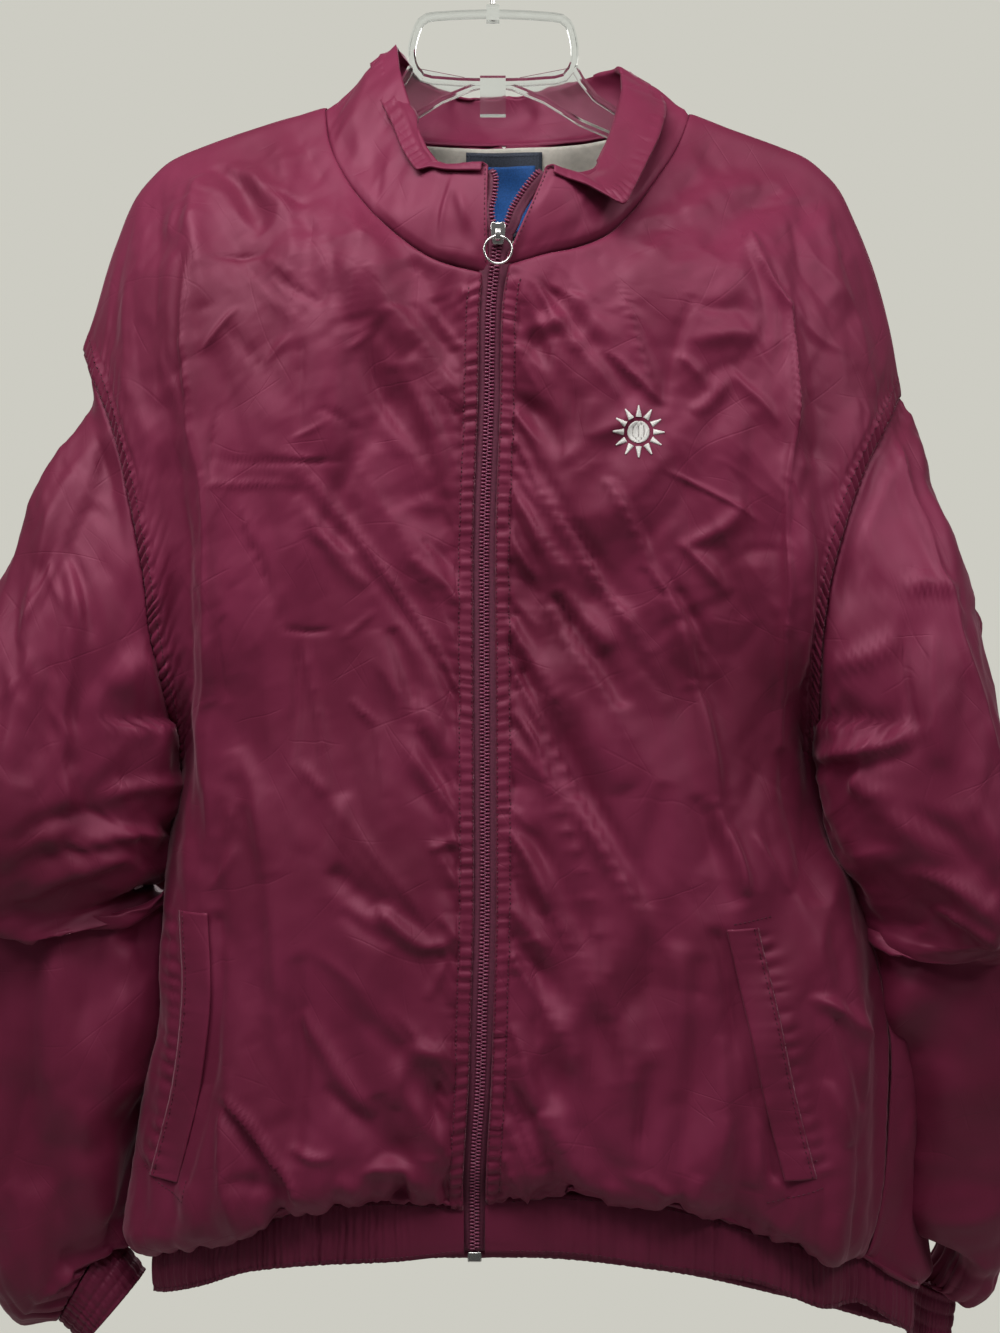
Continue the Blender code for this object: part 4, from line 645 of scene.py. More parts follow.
FOLDS_RIGHT = [
    (174, -249, 203, -301, 4, 2.6, 3.0, 0.8, 0), (203, -301, 197, -421, -3, 2.8, 3.4, 0.8, 0),
    (197, -421, 198, -599, 1, 2.8, 3.0, 0.8, 0), (218, -226, 215, -401, -3, 12, -4.5, 0.2, 0),
    (198, -213, 150, -262, 2, 8, -4.0, 0.2, 0), (182, -207, 132, -234, 3, 9, 3.0, 0.1, 0),
    (168, -239, 189, -281, -2, 3, 1.6, 0.7, 0), (98, -245, 146, -227, 2, 8, 2.2, 0.2, 0),
    (121, -253, 106, -269, 0, 3.5, 1.6, 0.6, 0), (88, -293, 108, -369, 2, 2.6, 1.7, 0.8, 0),
    (133, -299, 109, -374, 1, 4, -2.2, 0.4, 0), (76, -335, 109, -369, -1, 3, 2.4, 0.8, 0),
    (54, -335, 70, -313, 1, 4, 1.6, 0.5, 0), (14, -321, 49, -313, 2, 6, 2.2, 0.3, 0),
    (16, -330, 40, -358, -2, 5, 2.2, 0.4, 0), (14, -367, 48, -402, -4, 7, -3.6, 0.3, 0),
    (42, -330, 50, -409, 2, 5, 2.4, 0.4, 0), (56, -357, 58, -413, 1, 3, -1.6, 0.7, 0),
    (65, -394, 98, -374, 2, 5, 2.0, 0.4, 0), (137, -330, 181, -321, -2, 7, 2.2, 0.3, 0),
    (125, -338, 142, -359, -1, 4, 2.4, 0.5, 0), (133, -375, 164, -350, 2, 5, 2.6, 0.4, 0),
    (164, -353, 188, -382, -1, 4, 1.8, 0.5, 0), (138, -305, 173, -301, 2, 6, -1.8, 0.3, 0),
    (173, -381, 176, -474, 1, 7, -2.0, 0.3, 0), (76, -423, 102, -478, -2, 2.8, 2.8, 0.8, -0.4),
    (102, -478, 141, -535, -2, 3.0, 3.0, 0.8, -0.4), (42, -439, 84, -503, -3, 3.4, -3.0, 0.7, 0),
    (12, -433, 42, -493, -4, 6, 3.8, 0.3, 0), (42, -493, 74, -531, -2, 6, 3.4, 0.3, 0),
    (29, -447, 45, -474, 0, 3, -2.2, 0.6, 0), (42, -501, 86, -570, -2, 4.5, -4.2, 0.6, 0),
    (12, -474, 37, -505, -1, 4, -2.8, 0.5, 0), (61, -474, 81, -502, 0, 3, 2.4, 0.7, 0),
    (125, -465, 168, -439, 2, 5, 2.2, 0.4, 0), (125, -465, 157, -495, -2, 5, 2.8, 0.5, 0),
    (112, -414, 176, -447, -3, 2, 1.2, 0.9, 0), (114, -498, 134, -557, -4, 5, 4.0, 0.5, -0.5),
    (134, -557, 149, -634, -2, 6, 4.6, 0.5, -0.5), (149, -634, 169, -695, -1, 5, 3.2, 0.5, -0.4),
    (13, -515, 48, -561, -2, 9, 3.4, 0.2, 0), (48, -561, 86, -623, -2, 10, 3.8, 0.2, 0.3),
    (81, -499, 100, -535, 0, 4, 2.4, 0.6, 0), (98, -541, 114, -567, 0, 3, -1.4, 0.7, 0),
    (13, -575, 36, -625, -3, 3.0, 3.0, 0.7, -0.4), (36, -625, 61, -690, -1, 2.2, 2.6, 0.9, 0),
    (61, -690, 80, -774, -2, 2.2, 2.6, 0.9, 0), (9, -651, 37, -702, -3, 5, 3.6, 0.4, -0.4),
    (37, -702, 54, -729, 0, 5, 2.6, 0.4, 0), (13, -678, 25, -721, -2, 5, -2.8, 0.4, 0),
    (113, -625, 101, -701, 2, 7, -2.2, 0.2, 0), (101, -701, 106, -790, -2, 7, -2.8, 0.2, 0),
    (138, -633, 162, -702, -3, 7, -3.2, 0.4, 0), (161, -653, 169, -695, 0, 3, 1.8, 0.7, 0),
    (178, -658, 201, -695, 1, 3, 1.8, 0.6, 0), (200, -607, 224, -701, -3, 8, -2.6, 0.2, 0),
    (217, -766, 257, -798, -2, 5, 3.6, 0.5, 0), (228, -773, 250, -842, -1, 4, -3.2, 0.6, 0),
    (72, -731, 92, -867, -3, 9, 2.6, 0.2, 0), (125, -734, 105, -882, -4, 8, 3.4, 0.3, 0),
    (102, -807, 98, -879, 1, 5, -3.4, 0.4, 0), (48, -727, 53, -841, -2, 7, 2.2, 0.3, 0),
    (29, -741, 37, -834, 2, 5, -2.4, 0.4, 0), (138, -741, 134, -887, 2, 8, -2.6, 0.2, 0),
    (152, -794, 153, -887, 0, 6, 2.0, 0.3, 0), (105, -879, 121, -894, 3, 4, 4.0, 0.5, 0),
    (130, -901, 136, -879, 0, 5, 3.0, 0.4, 0), (226, -825, 240, -866, 1, 4, 3.2, 0.5, 0),
    (182, -834, 173, -887, 1, 6, 2.0, 0.3, 0), (12, -781, 29, -834, -2, 4, 2.2, 0.4, 0),
]


# ---- meshes ---------------------------------------------------------------------------
SKIN = 0.8 * MM


def mesh_of(name, points, faces, mat, smooth=True, loops=None):
    mesh = bpy.data.meshes.new(name)
    mesh.from_pydata(points if isinstance(points, list) else points.tolist(), [], faces if isinstance(faces, list) else faces.tolist())
    mesh.update()
    if smooth:
        mesh.shade_smooth()
    mesh.materials.append(mat)
    obj = bpy.data.objects.new(name, mesh)
    bpy.context.scene.collection.objects.link(obj)
    return obj


def quads(rows, cols, around=False, start=0):
    i, j = np.meshgrid(np.arange(rows - 1), np.arange(cols if around else cols - 1), indexing="ij")
    k = (j + 1) % cols
    return (start + np.stack([i * cols + j, i * cols + k, (i + 1) * cols + k, (i + 1) * cols + j], -1)).reshape(-1, 4)


def faces_out(g, f, start, out):
    """Faces turned so that their normals follow out, a direction for each point."""
    a, b, c = (g.reshape(-1, 3)[f[:, k] - start] for k in (0, 1, 3))
    say = (np.cross(b - a, c - a) * np.broadcast_to(out, g.shape).reshape(-1, 3)[f[:, 0] - start]).sum(-1)
    return f[:, ::-1] if say.sum() < 0 else f


def shell(name, grids, mat, thick=SKIN, around=False, out=(0, -1, 0), weld=False, body="garment"):
    """A thin closed wall on one or more grids of points, which are its outer face."""
    points, faces = [], []
    n = 0
    for g in grids:
        f = quads(g.shape[0], g.shape[1], around, n)
        faces.append(faces_out(g, f, n, np.asarray(out)))
        points.append(g.reshape(-1, 3))
        n += g.shape[0] * g.shape[1]
    obj = mesh_of(name, np.concatenate(points), np.concatenate(faces), mat)
    if weld:
        bm = bmesh.new()
        bm.from_mesh(obj.data)
        bmesh.ops.remove_doubles(bm, verts=bm.verts, dist=2e-5)
        bm.to_mesh(obj.data)
        bm.free()
    wall = obj.modifiers.new("Wall", "SOLIDIFY")
    wall.thickness, wall.offset = thick, -1
    wall.use_rim = True
    return dress(obj, body)


def dress(obj, body="garment"):
    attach(obj, body)
    return obj


# ---- materials ---------------------------------------------------------------------------
def shader(name):
    m = bpy.data.materials.new(name)
    m.use_nodes = True
    t = m.node_tree
    return m, t, t.nodes["Principled BSDF"]


def link(t, a, out, b, into):
    t.links.new(a.outputs[out], b.inputs[into])


def node(t, kind, **inputs):
    n = t.nodes.new(kind)
    for k, v in inputs.items():
        n.inputs[k.replace("_", " ")].default_value = v
    return n


def stretched(t, size):
    """Object coordinates, scaled."""
    place = t.nodes.new("ShaderNodeTexCoord")
    m = t.nodes.new("ShaderNodeMapping")
    m.inputs["Scale"].default_value = size
    link(t, place, "Object", m, "Vector")
    return m


def ramp(t, stops):
    r = t.nodes.new("ShaderNodeValToRGB")
    while len(r.color_ramp.elements) < len(stops):
        r.color_ramp.elements.new(0.5)
    for e, (at, c) in zip(r.color_ramp.elements, stops):
        e.position = at
        e.color = (*c, 1)
    return r


def nylon_cloth(name, dark, mid, light, rough=0.52, sheen=0.20, fine=1.0, wrinkle=1.0):
    """Satin-faced nylon taffeta: close weave, soft sheen, small pressed creases, faint shade changes."""
    m, t, b = shader(name)
    broad = node(t, "ShaderNodeTexNoise", Scale=7.0, Detail=5.0, Roughness=0.6)
    link(t, stretched(t, (1, 1, 1)), "Vector", broad, "Vector")
    colour = ramp(t, [(0.30, dark), (0.52, mid), (0.74, light)])
    link(t, broad, "Fac", colour, "Fac")
    link(t, colour, "Color", b, "Base Color")
    gloss = node(t, "ShaderNodeTexNoise", Scale=38.0, Detail=4.0)
    link(t, stretched(t, (1, 1, 1)), "Vector", gloss, "Vector")
    span = t.nodes.new("ShaderNodeMapRange")
    span.inputs["To Min"].default_value = rough - 0.06
    span.inputs["To Max"].default_value = rough + 0.08
    link(t, gloss, "Fac", span, "Value")
    link(t, span, "Result", b, "Roughness")
    b.inputs["Sheen Weight"].default_value = sheen
    b.inputs["Sheen Roughness"].default_value = 0.35
    b.inputs["Sheen Tint"].default_value = (1.0, 0.62, 0.72, 1)
    b.inputs["IOR"].default_value = 1.5
    b.inputs["Specular Tint"].default_value = (1.0, 0.50, 0.66, 1)
    # small pressed creases between the modelled ones: thin broken lines in several directions
    def math_node(kind, one, two, three=None):
        k = t.nodes.new("ShaderNodeMath")
        k.operation = kind
        for i, v in enumerate((one, two, three)):
            if v is None:
                continue
            if isinstance(v, (int, float)):
                k.inputs[i].default_value = v
            else:
                t.links.new(v, k.inputs[i])
        return k.outputs[0]

    def three(scale, detail):
        k = node(t, "ShaderNodeTexNoise", Scale=scale, Detail=detail)
        link(t, stretched(t, (1, 1, 1)), "Vector", k, "Vector")
        parts = t.nodes.new("ShaderNodeSeparateColor")
        link(t, k, "Color", parts, "Color")
        return [parts.outputs[i] for i in range(3)]

    slow, quick = three(9.0, 0.0), three(24.0, 0.0)
    height = None
    for k, (turn, period, slope, wander) in enumerate((
            (12, 82, 0.10, 0.5), (-31, 70, 0.12, 0.5), (38, 76, 0.10, 0.5), (78, 64, 0.08, 0.5),
            (-60, 47, 0.06, 0.4), (24, 43, 0.06, 0.4))):
        aim = t.nodes.new("ShaderNodeVectorMath")
        aim.operation = "DOT_PRODUCT"
        aim.inputs[1].default_value = (math.cos(math.radians(turn)) * 1000 / period, 300 / period, math.sin(math.radians(turn)) * 1000 / period)
        link(t, stretched(t, (1, 1, 1)), "Vector", aim, 0)
        period = float(period)
        move = math_node("MULTIPLY_ADD", (slow if period > 40 else quick)[k % 3], wander * 2.4, aim.outputs["Value"])
        wave = math_node("PINGPONG", move, 0.5)
        fade = t.nodes.new("ShaderNodeMapRange")
        fade.inputs["From Min"].default_value = 0.50
        fade.inputs["From Max"].default_value = 0.62
        t.links.new((quick if period > 40 else slow)[(k + 1) % 3], fade.inputs["Value"])
        # a thin pressed line where two planes meet
        line_at = t.nodes.new("ShaderNodeMapRange")
        line_at.interpolation_type = "SMOOTHSTEP"
        line_at.inputs["From Max"].default_value = 1.1 / period
        line_at.inputs["To Min"].default_value = -0.16 / (period * slope)
        line_at.inputs["To Max"].default_value = 0.0
        t.links.new(wave, line_at.inputs["Value"])
        part = math_node("MULTIPLY", line_at.outputs["Result"], fade.outputs["Result"])
        height = math_node("MULTIPLY_ADD", part, period * slope, height if height is not None else 0.0)
    crumple = t.nodes.new("ShaderNodeBump")
    crumple.inputs["Strength"].default_value = min(1.0, 0.6 * wrinkle)
    crumple.inputs["Distance"].default_value = 0.001
    t.links.new(height, crumple.inputs["Height"])
    # the weave: two crossed sets of threads
    threads = []
    for axis in ("X", "Z"):
        w = t.nodes.new("ShaderNodeTexWave")
        w.wave_type = "BANDS"
        w.bands_direction = axis
        w.inputs["Scale"].default_value = 560.0
        w.inputs["Distortion"].default_value = 0.6
        w.inputs["Detail"].default_value = 1.0
        link(t, stretched(t, (1, 1, 1)), "Vector", w, "Vector")
        threads.append(w)
    both = t.nodes.new("ShaderNodeMath")
    both.operation = "MULTIPLY"
    link(t, threads[0], "Fac", both, 0)
    link(t, threads[1], "Fac", both, 1)
    weave = t.nodes.new("ShaderNodeBump")
    weave.inputs["Strength"].default_value = 0.10 * fine
    weave.inputs["Distance"].default_value = 0.00012
    link(t, both, "Value", weave, "Height")
    link(t, crumple, "Normal", weave, "Normal")
    link(t, weave, "Normal", b, "Normal")
    return m


def plain(name, colour, rough, metal=0.0, spread=0.04, scale=120.0, bump=0.05, depth=0.0002, coat=0.0):
    m, t, b = shader(name)
    n = node(t, "ShaderNodeTexNoise", Scale=scale, Detail=4.0)
    link(t, stretched(t, (1, 1, 1)), "Vector", n, "Vector")
    low = tuple(max(0, c * (1 - spread * 2)) for c in colour)
    high = tuple(min(1, c * (1 + spread * 2)) for c in colour)
    r = ramp(t, [(0.3, low), (0.7, high)])
    link(t, n, "Fac", r, "Fac")
    link(t, r, "Color", b, "Base Color")
    b.inputs["Roughness"].default_value = rough
    b.inputs["Metallic"].default_value = metal
    b.inputs["Coat Weight"].default_value = coat
    if bump:
        k = t.nodes.new("ShaderNodeBump")
        k.inputs["Strength"].default_value = bump
        k.inputs["Distance"].default_value = depth
        link(t, n, "Fac", k, "Height")
        link(t, k, "Normal", b, "Normal")
    return m, t, b


DARK, MID, LIGHT = (0.118, 0.0100, 0.032), (0.150, 0.0135, 0.044), (0.182, 0.018, 0.057)
nylon = nylon_cloth("maroon_nylon", DARK, MID, LIGHT)
elastic = nylon_cloth("maroon_elastic", (0.105, 0.010, 0.031), (0.132, 0.013, 0.040), (0.155, 0.017, 0.050), rough=0.5, wrinkle=0.35)
tape_cloth, _, _ = plain("zip_tape_weave", (0.105, 0.012, 0.038), 0.75, spread=0.12, scale=700.0, bump=0.3, depth=0.0003)
teeth_mat, _, _ = plain("zip_teeth", (0.205, 0.035, 0.088), 0.30, spread=0.10, scale=300.0, bump=0.1)
thread_mat, _, _ = plain("maroon_thread", (0.085, 0.009, 0.028), 0.55, spread=0.1, scale=900.0, bump=0.2)
silver, _, _ = plain("silver_metal", (0.72, 0.71, 0.70), 0.2, metal=1.0, spread=0.03, scale=240.0, bump=0.04)
lining_cloth, _, lb = plain("off_white_lining", (0.66, 0.62, 0.56), 0.9, spread=0.04, scale=260.0, bump=0.35, depth=0.0005)
lb.inputs["Sheen Weight"].default_value = 0.3

clear, ct, cb = shader("clear_plastic")
cb.inputs["Base Color"].default_value = (0.90, 0.93, 0.93, 1)
cb.inputs["Transmission Weight"].default_value = 1.0
cb.inputs["IOR"].default_value = 1.49
scuff = node(ct, "ShaderNodeTexNoise", Scale=70.0, Detail=4.0)
link(ct, stretched(ct, (1, 1, 1)), "Vector", scuff, "Vector")
rub = ct.nodes.new("ShaderNodeMapRange")
rub.inputs["To Min"].default_value = 0.03
rub.inputs["To Max"].default_value = 0.14
link(ct, scuff, "Fac", rub, "Value")
link(ct, rub, "Result", cb, "Roughness")


# ---- fronts ---------------------------------------------------------------------------
def band_mask(d, lo, hi, soft=1.5):
    return ease((d - lo) / soft + 0.5) * ease((hi - d) / soft + 0.5)


HEM_NOTCHES = [(-196, 6, 6), (-141, 11, 8), (-104, 5, 5), (-62, 9, 6), (-30, 5, 5), (34, 6, 5), (70, 5, 5), (119, 11, 8), (160, 5, 6), (204, 7, 6), (243, 6, 6)]


def front_field(side, p, u, v):
    """Heights on a front, and the lengths from its edges."""
    x, z = p[..., 0] / MM, p[..., 2] / MM
    q = p / MM
    d_in = arcs(p, 1)
    d_out = d_in[:, -1:] - d_in
    d_low = arcs(p, 0)
    d_top = d_low[-1:] - d_low
    V = v[:, None] + 0 * x
    wander = np.stack([soft_noise(q, 38, 3 + side), soft_noise(q, 38, 33 + side)], -1) * 2.2
    h = folds(x + wander[..., 0], z + wander[..., 1], FOLDS_LEFT if side < 0 else FOLDS_RIGHT)
    busy = 0.75 + 0.5 * soft_noise(q, 120, 60 + side)
    lower = ease((-430 - z) / 200)                      # the lower part hangs calmer
    slant = 24 if side > 0 else -14
    h *= 2.4
    # the long fold down the left front beside the armhole, and its partner on the right
    if side < 0:
        h += folds(x + wander[..., 0], z + wander[..., 1], [(-203, -330, -196, -690, -6, 9, 7.5, 0.7, 0.0), (-216, -400, -212, -660, -4, 9, -6.5, 0.3, 0.0),
                                                             (-150, -560, -128, -760, 5, 10, 4.5, 0.6, 0.5), (-86, -700, -60, -850, 6, 11, 5.0, 0.5, 0.5)])
    else:
        h += folds(x + wander[..., 0], z + wander[..., 1], [(206, -300, 214, -600, 6, 10, 6.0, 0.6, 0.0), (226, -400, 224, -600, 4, 9, -6.0, 0.3, 0.0),
                                                             (128, -520, 168, -700, -8, 9, 6.5, 0.75, 0.5), (60, -640, 96, -840, -6, 12, 5.0, 0.5, 0.5),
                                                             (208, -700, 246, -880, -6, 9, 5.0, 0.7, 0.5)])
    h += crumple(q, 101 + 20 * side, slant, busy * (1 - 0.3 * lower))
    small = scatter(7 + side, 90, (-250 if side < 0 else 0, -900, 0 if side < 0 else 280, -170), 46, 3.0, 1.2,
                    (60, 80, 110, 125, 150) if side < 0 else (100, 115, 125, 70, 30))
    h += folds(x, z, small) * (1 - 0.5 * lower)
    # calm at the edges, where the seams hold the cloth
    edge = ease(d_in / 26) * ease(d_out / 22) * ease(d_top / 20)
    h *= (0.15 + 0.85 * edge) * (0.15 + 0.85 * ease(d_low / 16)) * (0.25 + 0.75 * ease((d_top - 6) / 46))
    # long soft pleats that rise from the gathered hem
    level = arcs(p, 1)[:1] + 0 * x
    pleat = ruffle(level + 0.10 * side * d_low + 3.0 * soft_noise(q, 70, 235), 38.0, 233 + side, 1.0)
    h += 6.5 * pleat * np.exp(-d_low / 120.0) * ease(d_low / 30) * ease(d_in / 40) * ease(d_out / 40)
    # pockets: a trough beside the opening, puckers and short drags along the sewn side
    rows = WELT_LEFT if side < 0 else WELT_RIGHT
    order = np.argsort(rows["z"])
    a = (x - np.interp(z, rows["z"][order], rows["x"][order])) * -side
    held = ease((z - rows["z"].min() + 4) / 10) * ease((rows["z"].max() + 4 - z) / 10)
    h -= held * 4.0 * np.exp(-((a - 17.0) / 5.0) ** 2)
    h += held * 3.4 * ruffle(z + 0.25 * a, 11.0, 237 + side, 0.8) * np.exp(-((a + 15.0) / 7.0) ** 2)
    h -= held * 1.6 * np.exp(-((a + 11.5) / 1.8) ** 2)
    # placket: puckered between the folded edge and its stitch line, and dragging a little beyond
    along = d_low[:, :1] + 0 * x
    open_part = ease((NECK - V) / 0.01)
    h += open_part * (2.8 * ruffle(along, 7.6, 201 + side, 0.7) * band_mask(d_in, 0.8, 9.4, 1.6))
    reach = 7.0 + 5.0 * soft_noise(np.stack([along, along * 0, along * 0], -1), 26, 215 + side)
    bow = along + 0.05 * side * d_in + 2.5 * soft_noise(q, 30, 217 + side)
    h += open_part * 2.2 * ruffle(bow, 13.0, 211 + side, 0.8) * np.exp(-np.clip(d_in - 10.5, 0, 99) / reach) * ease((d_in - 9.6) / 2.5)
    h += open_part * drags(side, along, d_in)
    h += open_part * (0.9 * band_mask(d_in, 0.8, 9.4, 1.6) - 1.0 * np.exp(-((d_in - 10.2) / 1.3) ** 2))
    # armhole: a narrow ruched band on the body side
    up = d_low[:, -1:] + 0 * x
    hole = ease((V - ARMPIT) / 0.02) * (0.2 + 0.8 * ease((d_top - 4) / 34))
    wide = 14.0 if side < 0 else 15.5
    band = band_mask(d_out, 1.0, wide, 2.0)
    h += hole * (4.2 * ruffle(up + 0.15 * d_out, 7.0, 221 + side, 0.6) * band + 0.9 * band)
    h += hole * 2.4 * ruffle(up - 0.5 * d_out, 12.5, 231 + side) * np.exp(-np.clip(d_out - wide, 0, 99) / 9.0) * (d_out > wide)
    h -= hole * 1.1 * np.exp(-((d_out - wide - 0.4) / 1.3) ** 2)
    # hem: gathered into the elastic band
    near_hem = np.exp(-d_low / 24.0)
    h += 6.0 * ruffle(level + 0.2 * d_low, 19.0, 241 + side) * near_hem * ease(d_low / 4)
    h += 2.4 * ruffle(level - 0.3 * d_low, 7.5, 251 + side) * np.exp(-d_low / 11.0)
    for x0, deep, wide in HEM_NOTCHES:
        h -= deep * np.exp(-((x - x0 - 0.1 * d_low) / wide) ** 2) * np.exp(-d_low / 34.0) * ease(d_low / 4)
    # neck seam
    h -= 0.8 * np.exp(-d_in / 2.0) * (1 - open_part)
    # side seam, a soft groove with slight drag lines
    low_side = 1 - ease((V - ARMPIT) / 0.02)
    h += low_side * 0.8 * ruffle(up, 16, 261 + side) * np.exp(-d_out / 9) - low_side * 0.7 * np.exp(-(d_out / 1.8) ** 2)
    return h, d_in, d_out, d_low


FRONT_U = np.concatenate([np.linspace(0, 0.085, 15)[:-1], np.linspace(0.085, 0.91, 69)[:-1], np.linspace(0.91, 1.0, 11)])
FRONT_V = np.concatenate([np.linspace(0, 0.16, 70)[:-1], np.linspace(0.16, 1.0, 361)])
BACK_U = np.concatenate([np.linspace(0, 0.93, 44)[:-1], np.linspace(0.93, 1.0, 8)])
BACK_V = np.concatenate([np.linspace(0, 0.16, 50)[:-1], np.linspace(0.16, 1.0, 221)])


def tuck_hem(g, n):
    """The gathered edge runs on a little way behind the hem band."""
    down = g[0] - g[2]
    down /= np.linalg.norm(down, axis=-1)[:, None]
    g[0] += down * 3.2 * MM - n[0] * 1.6 * MM
    g[1] -= n[1] * 0.5 * MM


def make_front(side, name):
    u, v = FRONT_U, FRONT_V
    p = even(front_points(side, u, v), 30, 110, 60, 26, 60)
    n = normals(p)
    if n[len(v) // 2, len(u) // 2, 1] > 0:
        n = -n
    h, d_in, d_out, d_low = front_field(side, p, u, v)
    g = p + n * (h * MM)[..., None]
    gap = np.clip(1 - d_in / 1.6, 0, 1)[..., None] * 0.35 * MM
    step = np.concatenate([g[:, 1:] - g[:, :-1], g[:, -1:] - g[:, -2:-1]], 1)
    step /= np.linalg.norm(step, axis=-1)[..., None]
    g = g + step * gap
    g = g - step * (np.clip(1 - d_out / 1.6, 0, 1)[..., None] * 0.35 * MM)
    tuck_hem(g, n)
    obj = shell(name, [g], nylon, out=n)
    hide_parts(name.replace("_cloth", ""))
    return obj, g


fronts = {side: make_front(side, name) for side, name in ((-1, "front_left_cloth"), (1, "front_right_cloth"))}

# ---- back -----------------------------------------------------------------------------
def make_back():
    u, v = BACK_U, BACK_V
    mirrored = [(-a, b, -c, d, -e, f, g_, k, -m) for a, b, c, d, e, f, g_, k, m in FOLDS_RIGHT[::2] if min(abs(a), abs(c)) > 30]
    others = [(-a + 9, b - 22, -c + 4, d - 30, e, f, g_, k, m) for a, b, c, d, e, f, g_, k, m in FOLDS_LEFT[1::2] if min(abs(a), abs(c)) > 30]
    centre = scatter(77, 40, (-60, -880, 60, -220), 70, 5.0, 2.4, (80, 95, 110, 60))
    halves = []
    for side in (-1, 1):
        p = even(patch(side, True, u, v), 26, 110, 60, 1, 60)
        n = normals(p)
        if n[len(v) // 2, len(u) // 3, 1] < 0:
            n = -n
        x, z, q = p[..., 0] / MM, p[..., 2] / MM, p / MM
        d_in = arcs(p, 1)
        d_out, d_low = d_in[:, -1:] - d_in, arcs(p, 0)
        d_top = d_low[-1:] - d_low
        V = v[:, None] + 0 * x
        h = 1.5 * folds(x, z, mirrored if side < 0 else others) + folds(x, z, centre)
        busy = 0.75 + 0.5 * soft_noise(q, 120, 71)
        h += crumple(q, 131, 12, busy)
        h += folds(x, z, scatter(91 + side, 90, (-290, -900, 290, -180), 46, 3.0, 1.2, (60, 80, 95, 115, 130)))
        h *= (0.12 + 0.88 * ease(d_out / 22) * ease(d_top / 20) * ease((NECK_BACK - V) / 0.04 + 1)) * (0.15 + 0.85 * ease(d_low / 16))
        up = d_low[:, -1:] + 0 * x
        low_side = 1 - ease((V - ARMPIT) / 0.02)
        hole = (1 - low_side) * (0.2 + 0.8 * ease((d_top - 4) / 34))
        band = band_mask(d_out, 1.0, 11.0, 2.0)
        h += hole * (3.8 * ruffle(up + 0.15 * d_out, 7.0, 281 + side, 0.6) * band + 0.9 * band)
        h += hole * 1.4 * ruffle(up - 0.5 * d_out, 12.5, 291 + side) * np.exp(-np.clip(d_out - 11, 0, 99) / 9.0) * (d_out > 11)
        level = d_in[:1] * side + 0 * x
        h += 6.0 * ruffle(level + 500, 19.0, 301) * np.exp(-d_low / 24.0) * ease(d_low / 4)
        h += 2.4 * ruffle(level + 500, 7.5, 311) * np.exp(-d_low / 11.0)
        h -= low_side * 0.7 * np.exp(-(d_out / 1.8) ** 2)
        flat_join = n.copy()
        flat_join[:, 0] = n[:, 0] * np.array([0, 1, 1])
        flat_join[:, 0] /= np.linalg.norm(flat_join[:, 0], axis=-1)[..., None]
        below = v < NECK_BACK
        n[below, 0] = flat_join[below, 0]
        g = p + n * (h * MM)[..., None]
        tuck_hem(g, n)
        halves.append((g, h, n))
    # the two halves share their centre line below the neck
    low = v < NECK_BACK
    mean = (halves[0][0][low, 0] + halves[1][0][low, 0]) / 2
    grids = []
    for side, (g, h, n) in zip((-1, 1), halves):
        fade = np.exp(-arcs(g, 1) / 10.0)[low]
        g[low] += (mean - g[low, 0])[:, None] * fade[..., None]
        grids.append(g)
    points = np.concatenate([k.reshape(-1, 3) for k in grids])
    a = quads(len(v), len(u))
    b = quads(len(v), len(u), start=len(v) * len(u))[:, ::-1]
    obj = mesh_of("back_cloth", points, np.concatenate([a, b])[:, ::-1], nylon)
    bm = bmesh.new()
    bm.from_mesh(obj.data)
    bmesh.ops.remove_doubles(bm, verts=bm.verts, dist=2e-5)
    bmesh.ops.recalc_face_normals(bm, faces=bm.faces)
    bm.faces.ensure_lookup_table()
    if sum(f.normal.y for f in bm.faces) < 0:
        bmesh.ops.reverse_faces(bm, faces=bm.faces)
    bm.to_mesh(obj.data)
    bm.free()
    wall = obj.modifiers.new("Wall", "SOLIDIFY")
    wall.thickness, wall.offset = SKIN, -1
    dress(obj)
    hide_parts("back")
    return obj, grids


back_obj, back_grids = make_back()

